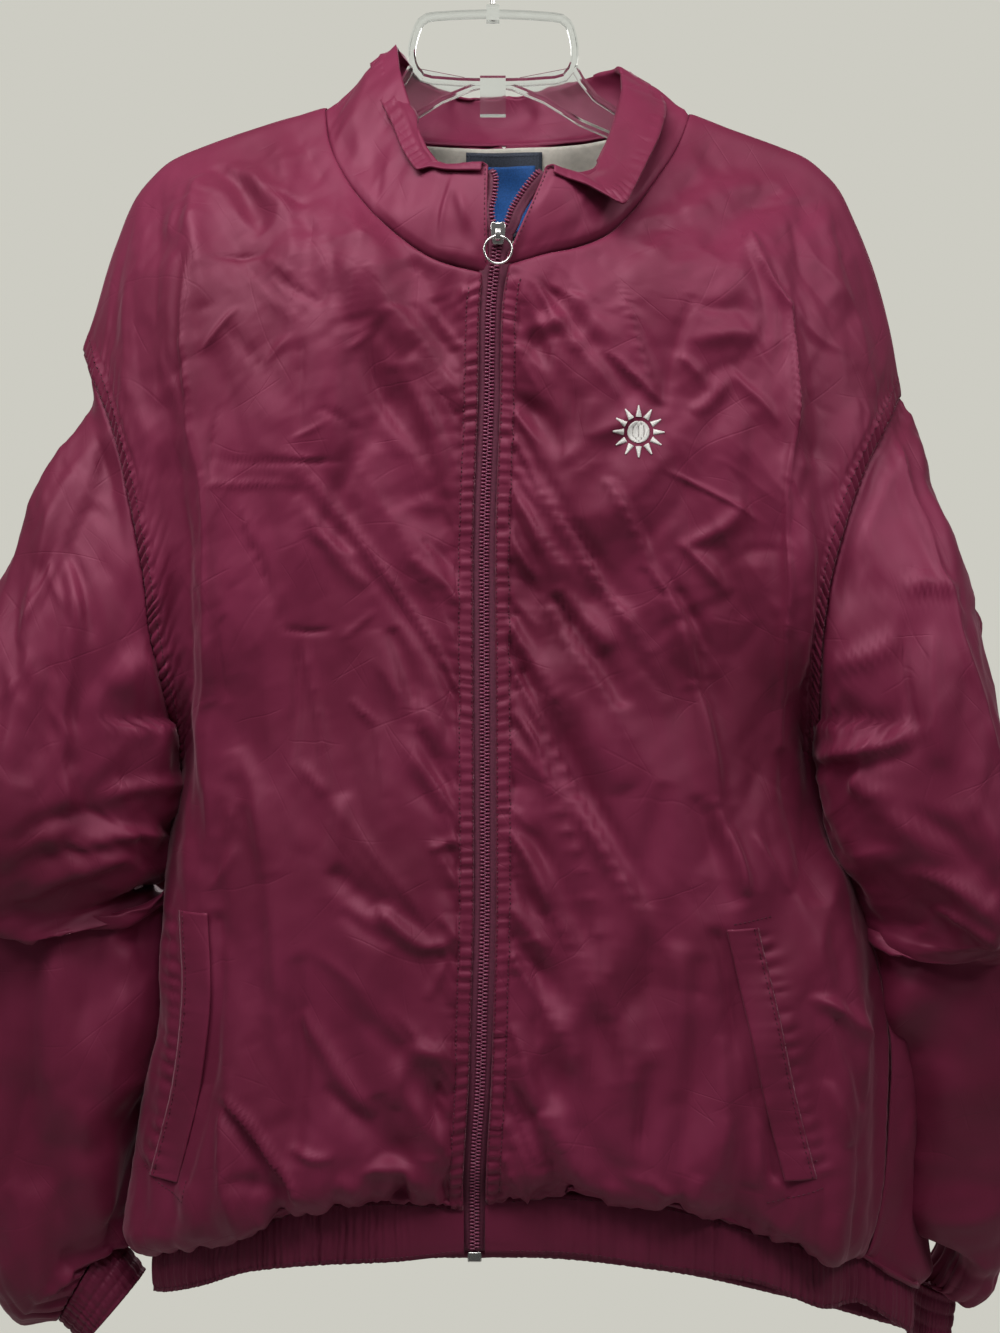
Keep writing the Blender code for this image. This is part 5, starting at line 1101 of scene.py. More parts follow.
# ---- sleeves --------------------------------------------------------------------------
FOLDS_SLEEVE_LEFT = [
    (-316, -527, -294, -478, -3, 3, 2.4, 0.8, 0), (-294, -478, -272, -402, 3, 3, 2.0, 0.8, 0),
    (-272, -402, -254, -354, 3, 3, 1.4, 0.6, 0), (-310, -507, -282, -414, 6, 4, 2.0, 0.5, 0),
    (-299, -475, -286, -502, 1, 3.5, 2.2, 0.6, 0), (-282, -467, -267, -529, -4, 4, -2.6, 0.5, 0.4),
    (-278, -501, -282, -645, 3, 6, 3.0, 0.4, 0), (-262, -474, -248, -487, 2, 3, -1.8, 0.7, 0),
    (-328, -567, -306, -538, 2, 3, 2.6, 0.8, 0), (-308, -543, -280, -545, 1, 2.2, -1.3, 0.9, 0),
    (-314, -602, -294, -599, 1, 2.2, -1.2, 0.9, 0), (-250, -421, -231, -514, -4, 7, 2.6, 0.2, 0),
    (-231, -474, -227, -541, -2, 6, -2.4, 0.3, 0), (-235, -527, -208, -622, 2, 5, 2.6, 0.3, 0),
    (-262, -634, -210, -629, -5, 6, 2.4, 0.3, 0), (-288, -669, -239, -662, -5, 5, 3.0, 0.5, 0),
    (-322, -702, -267, -675, -5, 5, 3.2, 0.5, 0), (-328, -687, -288, -669, -4, 5, -2.6, 0.4, 0),
    (-315, -658, -264, -646, -5, 5, -2.2, 0.4, 0), (-276, -427, -250, -425, 6, 4, 2.2, 0.4, 0),
    (-270, -389, -263, -414, 0, 4, -1.8, 0.5, 0), (-259, -402, -247, -417, 1, 3, -1.8, 0.7, 0),
    (-288, -414, -302, -474, 2, 8, 2.2, 0.2, 0), (-315, -567, -318, -654, 3, 8, 2.4, 0.2, 0),
    (-251, -561, -243, -634, 3, 8, -2.2, 0.2, 0), (-328, -614, -302, -627, 2, 4, 1.6, 0.5, 0),
    (-295, -721, -302, -867, 6, 12, 3.0, 0.1, 0), (-268, -701, -264, -847, -4, 12, 2.6, 0.1, 0),
    (-315, -741, -322, -901, 4, 12, -2.8, 0.1, 0), (-254, -741, -239, -810, -3, 8, 3.0, 0.2, 0),
    (-282, -847, -288, -961, 3, 9, 2.4, 0.2, 0), (-255, -841, -259, -921, 3, 9, -2.4, 0.2, 0),
    (-308, -887, -299, -974, -2, 9, -2.4, 0.2, 0),
]
FOLDS_SLEEVE_RIGHT = [
    (277, -381, 292, -447, 3, 2.8, 2.6, 0.8, 0), (292, -447, 313, -515, 3, 2.8, 2.4, 0.8, 0),
    (261, -394, 245, -434, 2, 4, 1.8, 0.4, 0), (246, -427, 237, -501, 3, 5, -2.0, 0.4, 0),
    (246, -493, 273, -498, -3, 2.6, -2.2, 0.9, 0), (273, -498, 313, -503, -4, 5.5, -1.3, 0.5, 0),
    (272, -493, 309, -495, -3, 6, 2.4, 0.3, 0), (229, -543, 270, -526, 4, 6, 3.0, 0.4, 0),
    (273, -517, 286, -598, 4, 2.4, -2.2, 0.9, 0), (236, -571, 273, -593, 3, 8, -3.6, 0.3, 0),
    (220, -602, 282, -591, 5, 5, 3.6, 0.5, 0.3), (305, -501, 326, -567, 3, 3, 2.4, 0.7, 0),
    (326, -567, 340, -610, 2, 3, 2.2, 0.7, 0), (289, -367, 325, -501, 5, 7, 2.0, 0.2, 0),
    (245, -474, 264, -469, 1, 2.4, -1.4, 0.9, 0), (225, -554, 246, -571, 1, 3, -1.6, 0.7, 0),
    (272, -421, 305, -487, 3, 7, -1.8, 0.2, 0), (253, -447, 258, -481, 1, 5, 2.0, 0.3, 0),
    (229, -501, 236, -534, 1, 5, 2.0, 0.3, 0), (292, -527, 296, -607, 2, 6, 2.2, 0.3, 0),
    (312, -554, 305, -634, -3, 8, -2.2, 0.2, 0), (258, -621, 298, -674, -5, 7, 2.6, 0.3, 0),
    (272, -634, 332, -694, -6, 6, -2.4, 0.3, 0), (292, -681, 338, -721, -4, 5, 3.0, 0.5, 0),
    (302, -709, 338, -735, -2, 4, 3.6, 0.5, 0), (245, -607, 272, -667, 3, 7, -2.4, 0.2, 0),
    (318, -634, 338, -674, 0, 6, 2.2, 0.3, 0), (272, -741, 258, -874, 5, 10, 2.6, 0.1, 0),
    (305, -754, 304, -867, -4, 10, 3.0, 0.1, 0), (325, -767, 332, -887, 3, 10, -2.8, 0.1, 0),
    (292, -847, 312, -921, -4, 8, -2.6, 0.2, 0), (318, -874, 305, -941, 3, 7, 2.6, 0.2, 0),
]


def lean_on_body(side, g):
    """The sleeve rests against the body's side all the way down: its inner end just reaches it."""
    edge = [k[:, -1] / MM for k in (fronts[side][1], back_grids[0 if side < 0 else 1])]
    far = np.max([np.interp(g[..., 2] / MM, k[np.argsort(k[:, 2]), 2], np.abs(k[np.argsort(k[:, 2]), 0])) for k in edge], 0)
    x, z = np.abs(g[..., 0]) / MM, g[..., 2] / MM
    gap = np.where((z < -584) & (z > -985), x - far, 99.0)
    inner = gap.min(1)
    cuff = arcs(g, 0)[:, 66]
    shift = np.where(inner < 70, np.clip(inner + 5.0, -3.0, 38.0), 0.0) * ease((cuff[-1] - cuff) / 14)
    for _ in range(3):
        shift[1:-1] = 0.5 * shift[1:-1] + 0.25 * (shift[:-2] + shift[2:])
    reach = np.exp(-(np.clip(gap - inner[:, None], 0, 400) / 30.0) ** 2)
    g[..., 0] -= side * (shift[:, None] * reach) * MM


def make_sleeve(side, name):
    s = np.unique(np.concatenate([np.linspace(0, 0.5, 14), np.linspace(0.5, 5, 74), np.linspace(5, 8, 52), np.linspace(8, 13, 60), np.linspace(13, 14, 13)]))
    turns = 140
    angle = np.linspace(0, 2 * math.pi, turns, endpoint=False)
    p = sleeve_points(side, s, angle)
    n = normals(p, True)
    rows = p.mean(1, keepdims=True)
    if ((p - rows) * n).sum(-1)[20:80].mean() < 0:
        n = -n
    # the overhanging puff turns its normals over in the fold
    x, z, q = p[..., 0] / MM, p[..., 2] / MM, p / MM
    d_top = arcs(p, 0)
    d_cuff = d_top[-1:] - d_top
    front = ease(0.5 + 1.6 * np.sin(angle))[None, :] + 0 * x
    drawn = FOLDS_SLEEVE_LEFT if side < 0 else FOLDS_SLEEVE_RIGHT
    h = 2.5 * folds(x, z, drawn) * front
    hidden = [(a + side * 6, b - 26, c + side * 3, d - 20, -e, f, g_, k, -m) for a, b, c, d, e, f, g_, k, m in drawn]
    h += 2.5 * folds(x, z, hidden) * (1 - front)
    busy = 0.7 + 0.55 * soft_noise(q, 110, 81 + side)
    calm = 1 - 0.15 * ease((s[:, None] - 6.5) / 2)
    h += 1.25 * calm * crumple(q, 161 + 20 * side, side * -18, busy)
    small = scatter(31 + side, 90, (-400, -1000, -220, -330) if side < 0 else (220, -1000, 400, -330), 46, 3.0, 1.2, (75, 95, 110, 60))
    h += calm * folds(x, z, small)
    h *= (0.10 + 0.90 * ease(d_top / 18)) * (0.25 + 0.75 * ease(d_cuff / 30))
    around_mm = arcs(np.concatenate([p, p[:, :1]], 1), 1)[:, :-1]
    seam = around_mm[:1] + 0 * x
    h += 2.6 * ruffle(seam, 12, 401 + side) * np.exp(-d_top / 10) * ease(d_top / 2)
    # gathered into the cuff: soft long pleats and short tight ones
    n_pleat = 15
    turn = angle[None, :] / (2 * math.pi)
    wave = np.stack([np.cos(angle), np.sin(angle), 0 * angle], -1)[None] * 60 + np.zeros(p.shape)
    phase = turn * n_pleat + 0.5 * soft_noise(wave, 24, 411 + side) + 0.0008 * d_cuff
    pleat = np.abs(np.sin(math.pi * phase)) ** 0.8 - 0.55
    h += 5.0 * pleat * np.exp(-d_cuff / 34.0) * ease(d_cuff / 3 + 0.25)
    tight = np.abs(np.sin(math.pi * (turn * 34 + 0.8 * soft_noise(wave, 10, 421 + side)))) ** 0.8 - 0.55
    h += 2.0 * tight * np.exp(-d_cuff / 12.0)
    g = p + n * (h * MM)[..., None]
    lean_on_body(side, g)
    inward = rows - p
    tuck = g[1] - g[0]
    tuck /= np.linalg.norm(tuck, axis=-1)[:, None]
    g[0] += inward[0] / np.linalg.norm(inward[0], axis=-1)[..., None] * 2.4 * MM - tuck * 3.4 * MM
    g[1] += inward[1] / np.linalg.norm(inward[1], axis=-1)[..., None] * 1.2 * MM
    obj = shell(name, [g], nylon, around=True, out=n)
    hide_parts(name.replace("_cloth", ""))
    return obj, g


sleeves = {side: make_sleeve(side, name) for side, name in ((-1, "sleeve_left_cloth"), (1, "sleeve_right_cloth"))}


# ---- cuffs ----------------------------------------------------------------------------
def make_cuff(side, name, rows):
    s = np.linspace(0, 2, 26)
    angle = np.linspace(0, 2 * math.pi, 190, endpoint=False)
    p = sleeve_section(rows, s, angle)
    n = normals(p, True)
    mid = p.mean(1, keepdims=True)
    if ((p - mid) * n).sum(-1).mean() < 0:
        n = -n
    turn = angle[None, :] / (2 * math.pi)
    wave = np.stack([np.cos(angle), np.sin(angle), 0 * angle], -1)[None] * 60 + np.zeros(p.shape)
    ribs = np.abs(np.sin(math.pi * (turn * 52 + 0.7 * soft_noise(wave, 9, 431 + side)))) ** 0.8 - 0.55
    h = 1.6 * ribs * (0.85 + 0.3 * soft_noise(p / MM, 9, 441))
    for at in (0.14, 0.40, 0.66, 0.9):                       # stitched channels of the elastic
        h -= 0.9 * np.exp(-((s[:, None] / 2 - at) / 0.035) ** 2)
    h += 0.8 * np.sin(math.pi * s[:, None] / 2)
    g = p + n * (h * MM)[..., None]
    obj = shell(name, [g], elastic, 1.2 * MM, around=True, out=n)
    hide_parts(name.replace("_cloth", ""))
    return obj


cuffs = {-1: make_cuff(-1, "cuff_left_cloth", CUFF_LEFT), 1: make_cuff(1, "cuff_right_cloth", CUFF_RIGHT)}


# ---- collar ---------------------------------------------------------------------------
def lip_cut(t, w):
    """The turned-out edge on the left keeps its width down to a cut corner near the end."""
    crest, lip = line(COLLAR_CREST, t), line(COLLAR_LIP, t)
    wide = line(COLLAR_LIP, np.full_like(t, 0.165)) - line(COLLAR_CREST, np.full_like(t, 0.165))
    keep = (ease((t - 0.108) / 0.012) * ease((0.168 - t) / 0.02))[:, None]
    add = (wide - (lip - crest)) * keep
    share = np.clip((w - 0.75) / 0.25, 0, 1)
    return share[:, None, None] * add[None]


def make_collar():
    t = np.linspace(0, 1, 290)
    w = np.concatenate([np.linspace(0, 0.72, 22)[:-1], np.linspace(0.72, 1, 16)])
    p = collar_points(t, w)
    p = p + lip_cut(t, w)
    n = normals(p)
    away = p.mean(0, keepdims=True) - np.array([0.01, 0, -0.2])
    away[..., 2] = 0
    if (n[:20] * away).sum(-1).mean() < 0:
        n = -n
    q = p / MM
    d_seam, d_end = arcs(p, 0), arcs(p, 1)
    d_lip = d_seam[-1:] - d_seam
    run = d_end[:1] + 0 * d_seam
    tail = np.minimum(d_end, d_end[:, -1:] - d_end)
    h = 4.6 * facets(q, 34, 501, 20, 1.4) + 1.9 * facets(q, 16, 511, -20, 1.3)
    h += 1.8 * folds(run, d_seam, scatter(55, 46, (0, 0, 560, 60), 30, 3.0, 1.4, (80, 100, 60, 120)))
    h = soften(h * ease(d_seam / 9) * ease(tail / 8) * (0.35 + 0.65 * ease((d_lip - 10) / 8)))
    # turned edge: stitched and puckered, as on the folded-out sides
    out = ease((t - 0.10) / 0.05) * ease((0.93 - t) / 0.04)
    h += out[None, :] * (3.0 * ruffle(run, 7.4, 521, 0.6) * band_mask(d_lip, 1.0, 11.5, 2.0) - 0.9 * np.exp(-((d_lip - 11.5) / 1.2) ** 2))
    h += (1 - out)[None, :] * 0.6 * ruffle(run, 9.0, 531) * band_mask(d_lip, 1.0, 6, 2)
    h += 1.2 * ruffle(run + 0.4 * d_seam, 9.5, 541) * np.exp(-d_seam / 6) * ease(d_seam / 1.5) * 0.7
    h -= 0.6 * np.exp(-d_seam / 1.6)
    g = p + n * (h * MM)[..., None]
    # both ends reach in to the rows of teeth, in front of the tapes
    for end, step_to in ((0, 1), (-1, -2)):
        along = g[:, end] - g[:, 6 if end == 0 else -7]
        along /= np.linalg.norm(along, axis=-1)[:, None] + 1e-12
        reach = np.where(w < 0.76, 1.0, np.clip(1 - (w - 0.76) / 0.1, 0, 1)) * 3.6
        near = d_end if end == 0 else d_end[:, -1:] - d_end
        pull = ease(1 - near / 22.0)
        g += along[:, None] * (pull * reach[:, None] * MM)[..., None]
        g[..., 1] -= pull * 1.0 * MM
    low = g[1] - g[0]
    low /= np.linalg.norm(low, axis=-1)[:, None]
    g[0] -= low * 2.6 * MM + n[0] * 1.5 * MM
    g[1] -= low * 0.3 * MM + n[1] * 1.1 * MM
    obj = shell("collar_cloth", [g], nylon, 1.3 * MM, out=n)
    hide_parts("collar")
    return obj, g


collar_obj, collar_grid = make_collar()


# ---- hem band -------------------------------------------------------------------------
def make_band():
    t = np.linspace(0, 1, 1000)
    w = np.linspace(0, 1, 12)
    p = band_points(t, w)
    n = normals(p)
    away = p - p.mean((0, 1), keepdims=True)
    away[..., 2] = 0
    if (n * away).sum(-1).mean() < 0:
        n = -n
    q = p / MM
    run = arcs(p, 1)[6:7] + 0 * q[..., 0]
    down = arcs(p, 0)
    ends = np.minimum(run, run[:, -1:] - run)
    soft_end = ease((ends - 30) / 14)                       # the flat tabs at the zip have no elastic
    h = soft_end * (2.0 * ruffle(run + 1.3 * soft_noise(q, 9, 601), 4.6, 611, 0.9) + 1.6 * ruffle(run, 9.7, 621, 0.9))
    h += (1 - soft_end) * 0.9 * facets(q, 15, 631, 30, 1.4)
    for at in (0.10, 0.92):
        h -= 0.7 * np.exp(-((w[:, None] - at) / 0.05) ** 2)
    h += 0.9 * np.sin(math.pi * w)[:, None]
    g = p + n * (h * MM)[..., None]
    obj = shell("hem_band_cloth", [g], elastic, 1.3 * MM, out=n)
    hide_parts("hem_band")
    return obj, g


band_obj, band_grid = make_band()


# ---- lines of stitches ------------------------------------------------------------------
def resample(points, normal, step):
    seg = np.linalg.norm(np.diff(points, axis=0), axis=1)
    run = np.concatenate([[0], np.cumsum(seg)])
    at = np.arange(0, run[-1], step)
    p = np.stack([np.interp(at, run, points[:, k]) for k in range(3)], -1)
    n = np.stack([np.interp(at, run, normal[:, k]) for k in range(3)], -1)
    return p, n / (np.linalg.norm(n, axis=1)[:, None] + 1e-12)


def stitches(name, lines, mat, length=2.5, gap=1.0, thread=0.32, proud=0.12, slot="nylon", body="garment", sides=4):
    """Short threads laid along lines: each line is points and normals, in metres."""
    starts, ends, ups = [], [], []
    for points, normal in lines:
        p, n = resample(points, normal, 0.25 * MM)
        every = int(round((length + gap) / 0.25))
        for i in range(0, len(p) - int(length / 0.25) - 1, every):
            starts.append(p[i])
            ends.append(p[i + int(length / 0.25)])
            ups.append(n[i + int(length / 0.5)])
    return threads(name, np.array(starts), np.array(ends), np.array(ups), mat, thread, proud, slot, body, sides)


def threads(name, a, b, up, mat, thread=0.32, proud=0.12, slot="nylon", body="garment", sides=4):
    d = b - a
    d /= np.linalg.norm(d, axis=1)[:, None] + 1e-12
    side = np.cross(d, up)
    side /= np.linalg.norm(side, axis=1)[:, None] + 1e-12
    up = np.cross(side, d)
    turn = np.arange(sides) * 2 * math.pi / sides
    rings = []
    for share, wide, lift in ((0.0, 0.35, -0.5), (0.22, 0.95, 0.6), (0.78, 0.95, 0.6), (1.0, 0.35, -0.5)):
        mid = a + (b - a) * share + up * ((proud + thread * lift) * MM)
        rings.append(mid[:, None] + (side[:, None] * np.cos(turn)[None, :, None] + up[:, None] * np.sin(turn)[None, :, None]) * (thread * wide * MM))
    points = np.stack(rings, 1)                      # threads, 4, sides, 3
    m = len(a)
    base = (np.arange(m) * 4 * sides)[:, None, None]
    i, j = np.meshgrid(np.arange(3), np.arange(sides), indexing="ij")
    k = (j + 1) % sides
    f = np.stack([i * sides + j, i * sides + k, (i + 1) * sides + k, (i + 1) * sides + j], -1).reshape(1, -1, 4)
    faces = (base + f).reshape(-1, 4).tolist()
    for q in range(m):
        faces.append(list(range(q * 4 * sides, q * 4 * sides + sides))[::-1])
        faces.append(list(range(q * 4 * sides + 3 * sides, q * 4 * sides + 4 * sides)))
    obj = mesh_of(name, points.reshape(-1, 3), faces, mat)
    return dress(obj, body)


def grid_line(g, across, offset, rows=slice(None), flip=False):
    """The line on a grid at a set distance from its first column (across) or its first row."""
    d = arcs(g, 1 if across else 0)
    n = normals(g)
    if flip:
        n = -n
    if not across:
        g, n, d = g.transpose(1, 0, 2), n.transpose(1, 0, 2), d.T
    p, m = [], []
    for i in range(g.shape[0])[rows]:
        at = offset if offset >= 0 else d[i, -1] + offset
        p.append([np.interp(at, d[i], g[i, :, k]) for k in range(3)])
        m.append([np.interp(at, d[i], n[i, :, k]) for k in range(3)])
    return np.array(p), np.array(m)


class Surface:
    """The dense front, to lay things on."""

    def __init__(self, g):
        self.tree = BVHTree.FromPolygons([tuple(k) for k in g.reshape(-1, 3)], quads(g.shape[0], g.shape[1]).tolist())

    def at(self, x, z, start=-0.5, toward=1.0):
        hit, away = self.tree.ray_cast(Vector((x, start, z)), Vector((0, toward, 0)))[:2]
        if hit is None:
            return None, None
        away = away if away.y * toward < 0 else -away
        return np.array(hit), np.array(away)

    def line(self, corners, step=1.0):
        """Points along straight runs between corners (x, z in millimetres), on the cloth."""
        c = np.array(corners, float)
        seg = np.linalg.norm(np.diff(c, axis=0), axis=1)
        run = np.concatenate([[0], np.cumsum(seg)])
        at = np.arange(0, run[-1], step)
        found = [self.at(x * MM, z * MM) for x, z in zip(np.interp(at, run, c[:, 0]), np.interp(at, run, c[:, 1]))]
        found = [f for f in found if f[0] is not None]
        return np.array([f[0] for f in found]), np.array([f[1] for f in found])


on = {side: Surface(fronts[side][1]) for side in (-1, 1)}
OUT = {-1: False, 1: False}
for side in (-1, 1):
    g = fronts[side][1]
    OUT[side] = normals(g)[len(g) // 2, g.shape[1] // 2, 1] > 0

zip_lines, hole_lines = [], []
for side in (-1, 1):
    g = fronts[side][1]
    n_rows = g.shape[0]
    v_rows = FRONT_V
    zip_rows = slice(3, int(np.searchsorted(v_rows, NECK)) - 1)
    for offset in (1.5, 10.2):
        zip_lines.append(grid_line(g, True, offset, zip_rows, OUT[side]))
    hole_rows = slice(int(np.searchsorted(v_rows, ARMPIT)) + 2, n_rows - 2)
    for offset in (-1.6, -11.4 if side < 0 else -12.9):
        hole_lines.append(grid_line(g, True, offset, hole_rows, OUT[side]))
for side, g in zip((-1, 1), back_grids):
    flip = normals(g)[len(g) // 2, g.shape[1] // 2, 1] < 0
    v_rows = BACK_V
    hole_rows = slice(int(np.searchsorted(v_rows, ARMPIT)) + 2, g.shape[0] - 2)
    for offset in (-1.6, -11.4):
        hole_lines.append(grid_line(g, True, offset, hole_rows, flip))
stitches("zip_topstitch", zip_lines, thread_mat, 2.4, 0.9)
stitches("armhole_topstitch", hole_lines, thread_mat, 2.4, 1.1)


# ---- pockets -----------------------------------------------------------------------------
welt_objs = {}


def make_welt(side, name, rows):
    """A folded strip: sewn down along its outer side, free along its opening."""
    k = np.linspace(0, 1, 110)
    m = len(rows["x"])
    x = smooth_curve(np.arange(m), rows["x"], k * (m - 1))
    z = smooth_curve(np.arange(m), rows["z"], k * (m - 1))
    cols = [(-0.50, 0.35), (-0.44, 0.9), (-0.36, 1.1), (-0.26, 1.5), (-0.14, 2.0), (0.0, 2.6), (0.14, 3.1), (0.26, 3.4),
            (0.36, 3.6), (0.44, 3.6), (0.485, 3.2), (0.50, 2.5), (0.48, 1.8), (0.42, 1.2), (0.30, 0.9)]
    free = -side                                  # the opening faces the zip
    grid = np.empty((len(k), len(cols), 3))
    for i in range(len(k)):
        for j, (a, lift) in enumerate(cols):
            hit, away = on[side].at((x[i] + free * a * 22.5) * MM, z[i] * MM)
            grid[i, j] = (hit[0], 0, hit[2])
            grid[i, j, 1] = hit[1]
    # the strip is stiffer than the cloth under it
    smooth = grid.copy()
    for _ in range(10):
        smooth[..., 1] = soften(smooth[..., 1])
    along = np.concatenate([[0], np.cumsum(np.hypot(np.diff(x), np.diff(z)))])
    q = smooth / MM
    for j, (a, lift) in enumerate(cols):
        near = np.exp(-((a + 0.40) / 0.10) ** 2) if j < 8 else 0.0
        pucker = 2.4 * ruffle(along, 10.0, 701 + side) * (near + 0.10)
        smooth[:, j, 1] = np.minimum(smooth[:, j, 1] - (lift + pucker) * MM, grid[:, j, 1] - (0.25 + 0.3 * lift) * MM)
    smooth[..., 1] -= 0.6 * MM * facets(q, 17, 711, 10, 1.4)
    obj = shell(name, [smooth], nylon, 0.5 * MM)
    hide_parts(name.replace("_cloth", ""))
    welt_objs[side] = obj
    return smooth


welts = {side: make_welt(side, name, rows) for side, name, rows in
         ((-1, "pocket_welt_left_cloth", WELT_LEFT), (1, "pocket_welt_right_cloth", WELT_RIGHT))}
pocket_lines = [on[-1].line(c) for c in (
    [(-203, -712), (-200, -722)], [(-241, -889), (-222, -899), (-207, -903)], [(-207, -903), (-205, -888)],
    [(-209, -846), (-214, -862), (-224, -883), (-231, -889)])]
pocket_lines += [on[1].line(c) for c in ([(160, -716), (189, -712)], [(182, -901), (224, -892)], [(196, -882), (219, -873)])]
for side in (-1, 1):
    w = welts[side]
    n = np.zeros_like(w[:, 2])
    n[:, 1] = -1
    pocket_lines.append((w[:, 2] * 1.0, n))
stitches("pocket_topstitch", pocket_lines, thread_mat, 2.4, 1.0)

# ---- stitches on the collar, band and cuffs ------------------------------------------------
flip = normals(collar_grid)[10, 30, 1] > 0
collar_lines = [grid_line(collar_grid, False, off, slice(3, 286), flip) for off in (-2.0, -11.4)]
collar_lines += [grid_line(collar_grid, True, off, slice(2, -2), flip) for off in (1.6, -1.6)]
stitches("collar_topstitch", collar_lines, thread_mat, 2.4, 1.0)
flip = normals(band_grid)[6, 110, 1] > 0
stitches("band_topstitch", [grid_line(band_grid, False, off, slice(7, 993), flip) for off in (3.4, -2.8)], thread_mat, 2.4, 1.2)

# ---- zip --------------------------------------------------------------------------------------
def zip_path(side):
    up = np.linspace(-934.0, -258.0, 300)
    low = zip_at(up)
    high_up = np.linspace(-256.0, -213.0, 30)
    high = MM * np.stack([smooth_curve(ZIP_SPLIT["up"], ZIP_SPLIT["left" if side < 0 else "right"], high_up),
                          smooth_curve(ZIP_SPLIT["up"], ZIP_SPLIT["deep"], high_up), high_up], -1)
    return np.concatenate([low, high])


def frame_of(path):
    d = np.gradient(path, axis=0)
    d /= np.linalg.norm(d, axis=1)[:, None]
    across = np.stack([d[:, 2], 0 * d[:, 0], -d[:, 0]], -1)
    across /= np.linalg.norm(across, axis=1)[:, None]
    return d, across


def make_zip(side, word):
    path = zip_path(side)
    d, across = frame_of(path)
    across = across * side
    spots = ((0.5, 0.7), (1.6, 0.55), (3.0, 0.5), (3.8, 0.2), (5.2, 0.5), (6.6, 1.5), (8.2, 2.0), (9.8, 2.3))
    grid = np.stack([path + across * (a * MM) + np.array([0, b * MM, 0]) for a, b in spots], 1)
    obj = shell(f"zip_tape_{word}_cloth", [grid], tape_cloth, 0.7 * MM)
    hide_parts(f"zip_tape_{word}")
    # teeth: one moulded block each, narrow where it grips the other row
    seg = np.concatenate([[0], np.cumsum(np.linalg.norm(np.diff(path, axis=0), axis=1))]) / MM
    pitch = 2.45
    at = np.arange(1.5 + (pitch / 2 if side > 0 else 0), seg[-1] - 1.0, pitch)
    pos = np.stack([np.interp(at, seg, path[:, k]) for k in range(3)], -1)
    dd = np.stack([np.interp(at, seg, d[:, k]) for k in range(3)], -1)
    aa = np.stack([np.interp(at, seg, across[:, k]) for k in range(3)], -1)
    rings = ((-0.55, 0.35, 0.55), (-0.2, 0.62, 0.9), (0.9, 0.66, 1.0), (2.6, 0.78, 1.05), (3.2, 0.6, 0.7))
    corner = np.array([(1, 0.45), (0.45, 1), (-0.45, 1), (-1, 0.45), (-1, -0.45), (-0.45, -1), (0.45, -1), (1, -0.45)])
    pts = []
    for a, half_z, half_y in rings:
        mid = pos + aa * (a * MM)
        pts.append(mid[:, None] + dd[:, None] * (corner[None, :, :1] * half_z * MM) + np.array([0, 1.0, 0]) * (corner[None, :, 1:] * half_y * MM))
    pts = np.stack(pts, 1)
    m, k, c = len(at), len(rings), 8
    base = (np.arange(m) * k * c)[:, None, None]
    i, j = np.meshgrid(np.arange(k - 1), np.arange(c), indexing="ij")
    nx = (j + 1) % c
    f = np.stack([i * c + j, i * c + nx, (i + 1) * c + nx, (i + 1) * c + j], -1).reshape(1, -1, 4)
    faces = (base + f).reshape(-1, 4).tolist()
    for q in range(m):
        faces.append(list(range(q * k * c, q * k * c + c))[::-1])
        faces.append(list(range(q * k * c + (k - 1) * c, q * k * c + k * c)))
    teeth = mesh_of(f"zip_teeth_{word}", pts.reshape(-1, 3), faces, teeth_mat)
    fix_normals(teeth)
    dress(teeth)
    return obj


def fix_normals(obj):
    bm = bmesh.new()
    bm.from_mesh(obj.data)
    bmesh.ops.recalc_face_normals(bm, faces=bm.faces)
    bm.to_mesh(obj.data)
    bm.free()


tapes = {side: make_zip(side, word) for side, word in ((-1, "left"), (1, "right"))}


def plate(bm, outline, y0, y1):
    a = [bm.verts.new((x * MM, y0 * MM, z * MM)) for x, z in outline]
    b = [bm.verts.new((x * MM, y1 * MM, z * MM)) for x, z in outline]
    m = len(outline)
    bm.faces.new(a)
    bm.faces.new(b[::-1])
    for i in range(m):
        bm.faces.new((a[i], b[i], b[(i + 1) % m], a[(i + 1) % m]))


def bevelled(name, build_it, mat, at, body, replaced=None, wide=0.45, turn=0.0):
    bm = bmesh.new()
    build_it(bm)
    bmesh.ops.recalc_face_normals(bm, faces=bm.faces)
    mesh = bpy.data.meshes.new(name)
    bm.to_mesh(mesh)
    bm.free()
    mesh.materials.append(mat)
    obj = bpy.data.objects.new(name, mesh)
    bpy.context.scene.collection.objects.link(obj)
    obj.location = Vector(at)
    obj.rotation_euler = (turn, 0, 0)
    soft = obj.modifiers.new("Edges", "BEVEL")
    soft.width, soft.segments, soft.limit_method, soft.angle_limit = wide * MM, 3, "ANGLE", math.radians(30)
    mesh.shade_smooth()
    mesh.set_sharp_from_angle(angle=math.radians(50))
    dress(obj, body)
    if replaced:
        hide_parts(replaced)
    return obj


SLIDER = zip_at([-261.0])[0]
SHIELD = [(-4.9, 7.4), (-4.2, 8.8), (-2.6, 9.3), (-0.9, 8.3), (0.9, 8.3), (2.6, 9.3), (4.2, 8.8), (4.9, 7.4), (4.8, 3.0),
          (4.2, -1.5), (3.7, -4.4), (3.0, -5.6), (-3.0, -5.6), (-3.7, -4.4), (-4.2, -1.5), (-4.8, 3.0)]


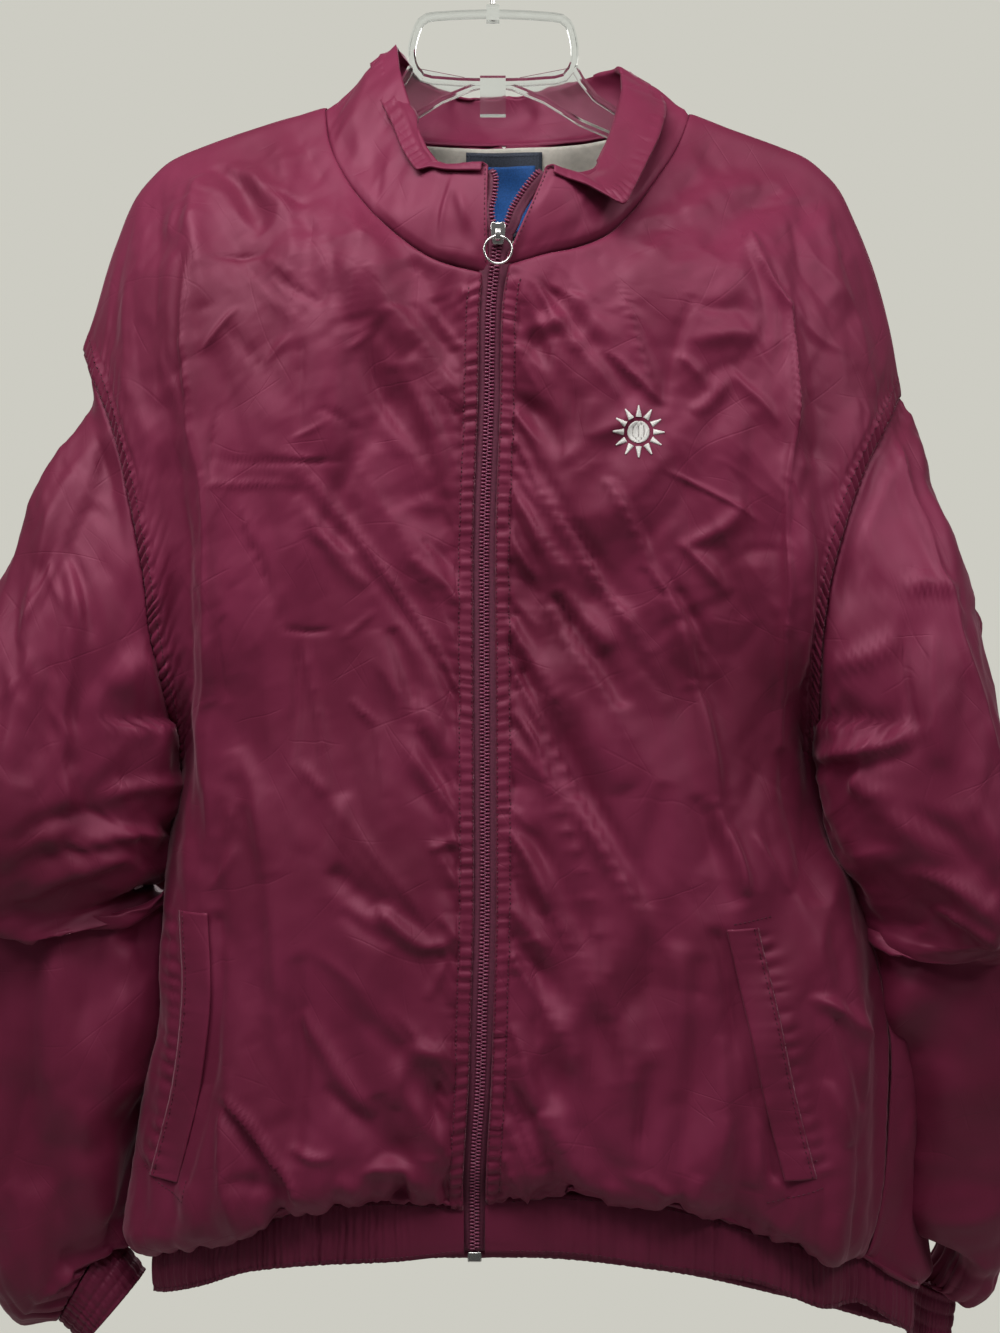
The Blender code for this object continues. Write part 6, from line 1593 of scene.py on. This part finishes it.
def slider_mesh(bm):
    plate(bm, SHIELD, -3.1, -1.9)
    plate(bm, SHIELD, 1.6, 2.8)
    plate(bm, [(-0.8, 7.4), (0.8, 7.4), (0.8, 9.2), (-0.8, 9.2)], -2.4, 2.2)
    for s in (-1, 1):
        plate(bm, [(s * 4.0, 7.0), (s * 4.9, 7.0), (s * 4.6, 0.0), (s * 3.7, -5.2), (s * 2.9, -5.2), (s * 3.6, 0.0)], -2.2, -0.9)
        plate(bm, [(s * 4.0, 7.0), (s * 4.9, 7.0), (s * 4.6, 0.0), (s * 3.7, -5.2), (s * 2.9, -5.2), (s * 3.6, 0.0)], 0.9, 1.8)
    # the bail that holds the ring
    side_on = [(-2.9, 4.2), (-5.6, 4.0), (-7.0, 2.9), (-7.4, 1.2), (-7.4, -1.4), (-7.0, -2.8), (-5.6, -3.7), (-2.9, -3.9)]
    inner = [(-2.9, 2.9), (-5.2, 2.8), (-6.1, 2.0), (-6.4, 0.9), (-6.4, -1.3), (-6.1, -2.0), (-5.2, -2.5), (-2.9, -2.6)]
    rings = []
    for (y, z), (yi, zi) in zip(side_on, inner):
        rings.append([bm.verts.new((x * MM, yy * MM, zz * MM)) for x, yy, zz in ((-1.7, y, z), (1.7, y, z), (1.7, yi, zi), (-1.7, yi, zi))])
    for r, s in zip(rings[:-1], rings[1:]):
        for j in range(4):
            bm.faces.new((r[j], r[(j + 1) % 4], s[(j + 1) % 4], s[j]))
    bm.faces.new(rings[0])
    bm.faces.new(rings[-1][::-1])


bevelled("zip_slider_metal", slider_mesh, silver, SLIDER, "garment", "zip_slider", 0.3)
PIVOT = SLIDER + np.array([0.0, -5.1, -0.6]) * MM


def ring_mesh(bm):
    big, small = (RING_OUTER - RING_WIRE) / 2, RING_WIRE / 2
    rings = []
    for i in range(84):
        a = 2 * math.pi * i / 84
        rings.append([bm.verts.new((math.sin(a) * (big + small * math.cos(b)), small * math.sin(b), -big + math.cos(a) * (big + small * math.cos(b))))
                      for b in (2 * math.pi * j / 16 for j in range(16))])
    for i in range(84):
        for j in range(16):
            bm.faces.new((rings[i][j], rings[i][(j + 1) % 16], rings[(i + 1) % 84][(j + 1) % 16], rings[(i + 1) % 84][j]))


ring = bevelled("zip_pull_ring", ring_mesh, silver, PIVOT, "pull", "zip_pull", 0.01, math.radians(-RING_LEAN))
ring.modifiers.clear()

FOOT = zip_at([-936.0])[0]
bevelled("zip_box_metal", lambda bm: plate(bm, [(-4.6, -5.0), (4.6, -5.0), (4.6, 1.2), (3.8, 1.6), (-3.8, 1.6), (-4.6, 1.2)], -2.3, 2.3),
         silver, FOOT, "garment", "zip_box", 0.7)

# ---- lining and label inside the back of the neck ----------------------------------------------
def behind(x, z):
    for g in BEHIND:
        hit = g.ray_cast(Vector((x, -0.3, z)), Vector((0, 1, 0)))[0]
        if hit is not None and hit.y > 0:
            return hit.y
    return None


BEHIND = [BVHTree.FromPolygons([tuple(k) for k in g.reshape(-1, 3)], quads(g.shape[0], g.shape[1]).tolist()) for g in back_grids]
neck = line(NECK_SEAM, np.linspace(0.42, 0.63, 60))
inside = np.empty((46, 60, 3))
for i, k in enumerate(np.linspace(0, 1, 46)):
    for j, n in enumerate(neck):
        z = n[2] - 2.4 * MM - k * 0.111
        x = 0.008 + (n[0] - 0.008) * (1 - 0.1 * k)
        y = behind(x, z)
        inside[i, j] = (x, (y if y is not None else inside[i, j - 1, 1] + 2.4 * MM) - 2.4 * MM, z)
for _ in range(3):
    inside[..., 1] = soften(inside[..., 1])
inside[..., 1] -= (0.5 * MM * facets(inside / MM, 26, 801, 0, 1.3) + 0.5 * MM)
lining_obj = shell("lining_cloth", [inside], lining_cloth, 0.6 * MM)
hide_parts("lining_back_neck")

lining_tree = BVHTree.FromPolygons([tuple(k) for k in inside.reshape(-1, 3)], quads(46, 60).tolist())


def label_grid(w, h, lift, cz, m=24):
    rows = []
    for z in np.linspace(h / 2, -h / 2, m):
        row = []
        for x in np.linspace(-w / 2, w / 2, m):
            hit = lining_tree.ray_cast(Vector((x + 0.008, -0.5, z + cz)), Vector((0, 1, 0)))[0]
            row.append((x + 0.008, hit.y - lift, z + cz))
        rows.append(row)
    return np.array(rows)


label_edge, _, _ = plain("label_border", (0.055, 0.065, 0.095), 0.8, spread=0.15, scale=900.0, bump=0.3, depth=0.0003)
label_blue, _, _ = plain("label_field", (0.02, 0.13, 0.46), 0.7, spread=0.12, scale=900.0, bump=0.3, depth=0.0003)
wide, tall = LABEL_SIZE
border = label_grid(wide, tall, 1.5 * MM, -0.172 - tall / 2)
label_obj = shell("neck_label_border", [border], label_edge, 0.5 * MM)
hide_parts("neck_label")
field = label_grid(wide - 0.010, tall - 0.014, 1.75 * MM, -0.172 - tall / 2 - 0.003)
field_obj = shell("neck_label_field", [field], label_blue, 0.3 * MM)
up_n = np.zeros((24, 3))
up_n[:, 1] = -1
label_thread, _, _ = plain("label_thread", (0.07, 0.08, 0.12), 0.6, spread=0.1, scale=900.0)
stitches("label_stitch", [(border[1], up_n), (border[-2], up_n), (border[:, 1], up_n), (border[:, -2], up_n)], label_thread, 2.0, 0.8, 0.25, slot="label")

# ---- small round motif sewn on the chest -----------------------------------------------------------
white_thread, _, wb = plain("white_thread", (0.80, 0.79, 0.77), 0.45, spread=0.05, scale=900.0, bump=0.2)
MOTIF = (96.5, -390.0)
first, last, above = [], [], []


def sew(x0, z0, x1, z1):
    parts = max(1, int(round(math.hypot(x1 - x0, z1 - z0) / 3.6)))
    for i in range(parts):
        a = on[1].at((MOTIF[0] + x0 + (x1 - x0) * i / parts) * MM, (MOTIF[1] + z0 + (z1 - z0) * i / parts) * MM)
        b = on[1].at((MOTIF[0] + x0 + (x1 - x0) * (i + 1) / parts) * MM, (MOTIF[1] + z0 + (z1 - z0) * (i + 1) / parts) * MM)
        first.append(a[0])
        last.append(b[0])
        above.append(a[1] + b[1])


for z in np.arange(-7.2, 7.3, 0.5):
    half = math.sqrt(max(0.3, 7.4 ** 2 - z * z))
    sew(-half, z, half, z)
for k in range(12):
    a = 2 * math.pi * k / 12
    for r in np.arange(10.0, 17.5, 0.5):
        w = 2.1 * (1 - (r - 10.0) / 9.5)
        cx, cz = math.cos(a) * r, math.sin(a) * r
        sew(cx - math.sin(a) * w, cz + math.cos(a) * w, cx + math.sin(a) * w, cz - math.cos(a) * w)
threads("chest_motif", np.array(first), np.array(last), np.array(above), white_thread, 0.36, 0.3)

# ---- hanger --------------------------------------------------------------------------------------
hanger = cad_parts["hanger_body"]
hanger.data.materials.clear()
hanger.data.materials.append(clear)
hanger.data.shade_smooth()
hanger.data.set_sharp_from_angle(angle=math.radians(32))
r = HOOK_INNER / 2 + HOOK_WIRE / 2
cz = -HOOK_INNER / 2
hook = [(0.0, -80.6), (0.0, -76.0), (0.0, -68.0), (0.0, -62.0), (0.0, -57.0), (0.8, -53.2), (2.4, -50.0), (4.9, -46.1), (7.6, -42.5)]
for a in np.radians(np.arange(-50, 199, 6.25)):
    hook.append((r / MM * math.cos(a), cz / MM + r / MM * math.sin(a)))
hook = np.array(hook) * MM
run = np.concatenate([[0], np.cumsum(np.linalg.norm(np.diff(hook, axis=0), axis=1))])
fine = np.linspace(0, run[-1], 150)
hook = np.stack([np.interp(fine, run, hook[:, k]) for k in (0, 1)], -1)
for _ in range(4):
    hook[1:-1] = 0.5 * hook[1:-1] + 0.25 * (hook[:-2] + hook[2:])
d = np.gradient(hook, axis=0)
d /= np.linalg.norm(d, axis=1)[:, None]
nrm = np.stack([-d[:, 1], d[:, 0]], -1)
turn = np.arange(18) * 2 * math.pi / 18
sizes = np.ones(150)
sizes[-4:] = (0.97, 0.88, 0.7, 0.3)
grid = np.stack([np.stack([hook[:, 0] + nrm[:, 0] * math.cos(a) * sizes * HOOK_WIRE / 2, math.sin(a) * sizes * HOOK_WIRE / 2,
                           hook[:, 1] + nrm[:, 1] * math.cos(a) * sizes * HOOK_WIRE / 2], -1) for a in turn], 1)
f = quads(150, 18, True).tolist() + [list(range(18))[::-1], list(range(149 * 18, 150 * 18))]
hook_obj = mesh_of("hanger_hook_wire", grid.reshape(-1, 3), f, silver)
fix_normals(hook_obj)
dress(hook_obj)
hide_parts("hanger_hook")

# ---- cloth sizes ------------------------------------------------------------------------------------
for obj, flat, area, held in (
        (fronts[-1][0], (0.36, 0.83), 0.22, "hung"), (fronts[1][0], (0.36, 0.83), 0.22, "hung"),
        (back_obj, (0.72, 0.86), 0.46, "hung"), (sleeves[-1][0], (0.52, 0.66), 0.26, "hung"),
        (sleeves[1][0], (0.52, 0.66), 0.26, "hung"), (collar_obj, (0.60, 0.10), None, "stretched"),
        (band_obj, (1.40, 0.037), None, "gathered"), (cuffs[-1], (0.22, 0.04), None, "gathered"),
        (cuffs[1], (0.22, 0.045), None, "gathered"),
        (welt_objs[-1], (0.182, 0.027), None, "stretched"), (welt_objs[1], (0.182, 0.027), None, "stretched"), (lining_obj, (0.20, 0.112), None, "hung"),
        (tapes[-1], (0.0065, 0.72), None, "stretched"), (tapes[1], (0.0065, 0.72), None, "stretched")):
    if min(flat) < 0.01:
        continue

# ---- stage, light, camera ------------------------------------------------------------------------------
bm = bmesh.new()
bmesh.ops.create_circle(bm, cap_ends=True, segments=96, radius=2.45)
mesh = bpy.data.meshes.new("floor")
bm.to_mesh(mesh)
bm.free()
floor_mat, _, _ = plain("pale_floor", (0.62, 0.61, 0.58), 0.8, spread=0.02, scale=3.0, bump=0.0)
mesh.materials.append(floor_mat)
floor = bpy.data.objects.new("floor", mesh)
floor.location = (0, 0, -1.9)
bpy.context.scene.collection.objects.link(floor)

world = bpy.data.worlds.new("soft_room")
bpy.context.scene.world = world
world.use_nodes = True
t = world.node_tree
seen = t.nodes["Background"]
seen.inputs["Color"].default_value = (0.610, 0.604, 0.545, 1)
seen.inputs["Strength"].default_value = 1.0
glow = t.nodes.new("ShaderNodeBackground")
where = t.nodes.new("ShaderNodeTexCoord")
split = t.nodes.new("ShaderNodeSeparateXYZ")
t.links.new(where.outputs["Generated"], split.inputs[0])
rise = t.nodes.new("ShaderNodeMapRange")
rise.inputs["From Min"].default_value = -0.6
rise.inputs["From Max"].default_value = 0.9
rise.inputs["To Min"].default_value = 0.04
rise.inputs["To Max"].default_value = 0.16
t.links.new(split.outputs["Z"], rise.inputs["Value"])
glow.inputs["Color"].default_value = (1.0, 0.985, 0.95, 1)
t.links.new(rise.outputs["Result"], glow.inputs["Strength"])
path_node = t.nodes.new("ShaderNodeLightPath")
either = t.nodes.new("ShaderNodeMath")
either.operation = "MAXIMUM"
t.links.new(path_node.outputs["Is Camera Ray"], either.inputs[0])
t.links.new(path_node.outputs["Is Transmission Ray"], either.inputs[1])
mix = t.nodes.new("ShaderNodeMixShader")
t.links.new(either.outputs[0], mix.inputs[0])
t.links.new(glow.outputs[0], mix.inputs[1])
t.links.new(seen.outputs[0], mix.inputs[2])
t.links.new(mix.outputs[0], t.nodes["World Output"].inputs["Surface"])


def area_light(name, at, toward, size, watts, colour=(1, 1, 1)):
    data = bpy.data.lights.new(name, "AREA")
    data.shape = "RECTANGLE"
    data.size, data.size_y = size
    data.energy = watts
    data.color = colour
    obj = bpy.data.objects.new(name, data)
    obj.location = at
    obj.rotation_euler = (Vector(toward) - Vector(at)).to_track_quat("-Z", "Y").to_euler()
    bpy.context.scene.collection.objects.link(obj)
    obj.visible_transmission = False
    return obj


area_light("ceiling_panel", (-0.28, -0.80, 0.66), (0.0, 0.0, -0.26), (1.2, 0.5), 18.5, (1.0, 0.985, 0.96))
area_light("second_panel", (1.1, -1.3, 0.9), (0.05, 0.0, -0.5), (0.6, 0.5), 7.5, (1.0, 0.98, 0.95))
area_light("low_fill", (-0.6, -2.6, -0.7), (0.0, 0.0, -0.75), (1.6, 1.2), 0.15, (1.0, 0.98, 0.96))
area_light("left_panel", (-1.25, -1.0, 0.35), (-0.36, 0.0, -0.42), (0.35, 0.35), 5.5, (1.0, 0.98, 0.95))
area_light("right_panel", (1.3, -0.9, 0.45), (0.36, 0.0, -0.36), (0.35, 0.35), 5.5, (1.0, 0.98, 0.95))
area_light("rear_fill", (0.3, 2.4, 0.8), (0.0, 0.0, -0.5), (1.8, 1.2), 26, (1.0, 0.99, 0.97))

cam = bpy.data.cameras.new("photo_view")
cam.lens, cam.sensor_width, cam.sensor_fit = 52.65, 36, "AUTO"
camera = bpy.data.objects.new("photo_view", cam)
camera.location = (0.005, -1.37, -0.545)
camera.rotation_euler = (math.radians(90), 0, 0)
bpy.context.scene.collection.objects.link(camera)
bpy.context.scene.camera = camera
bpy.context.scene.view_settings.view_transform = "Standard"
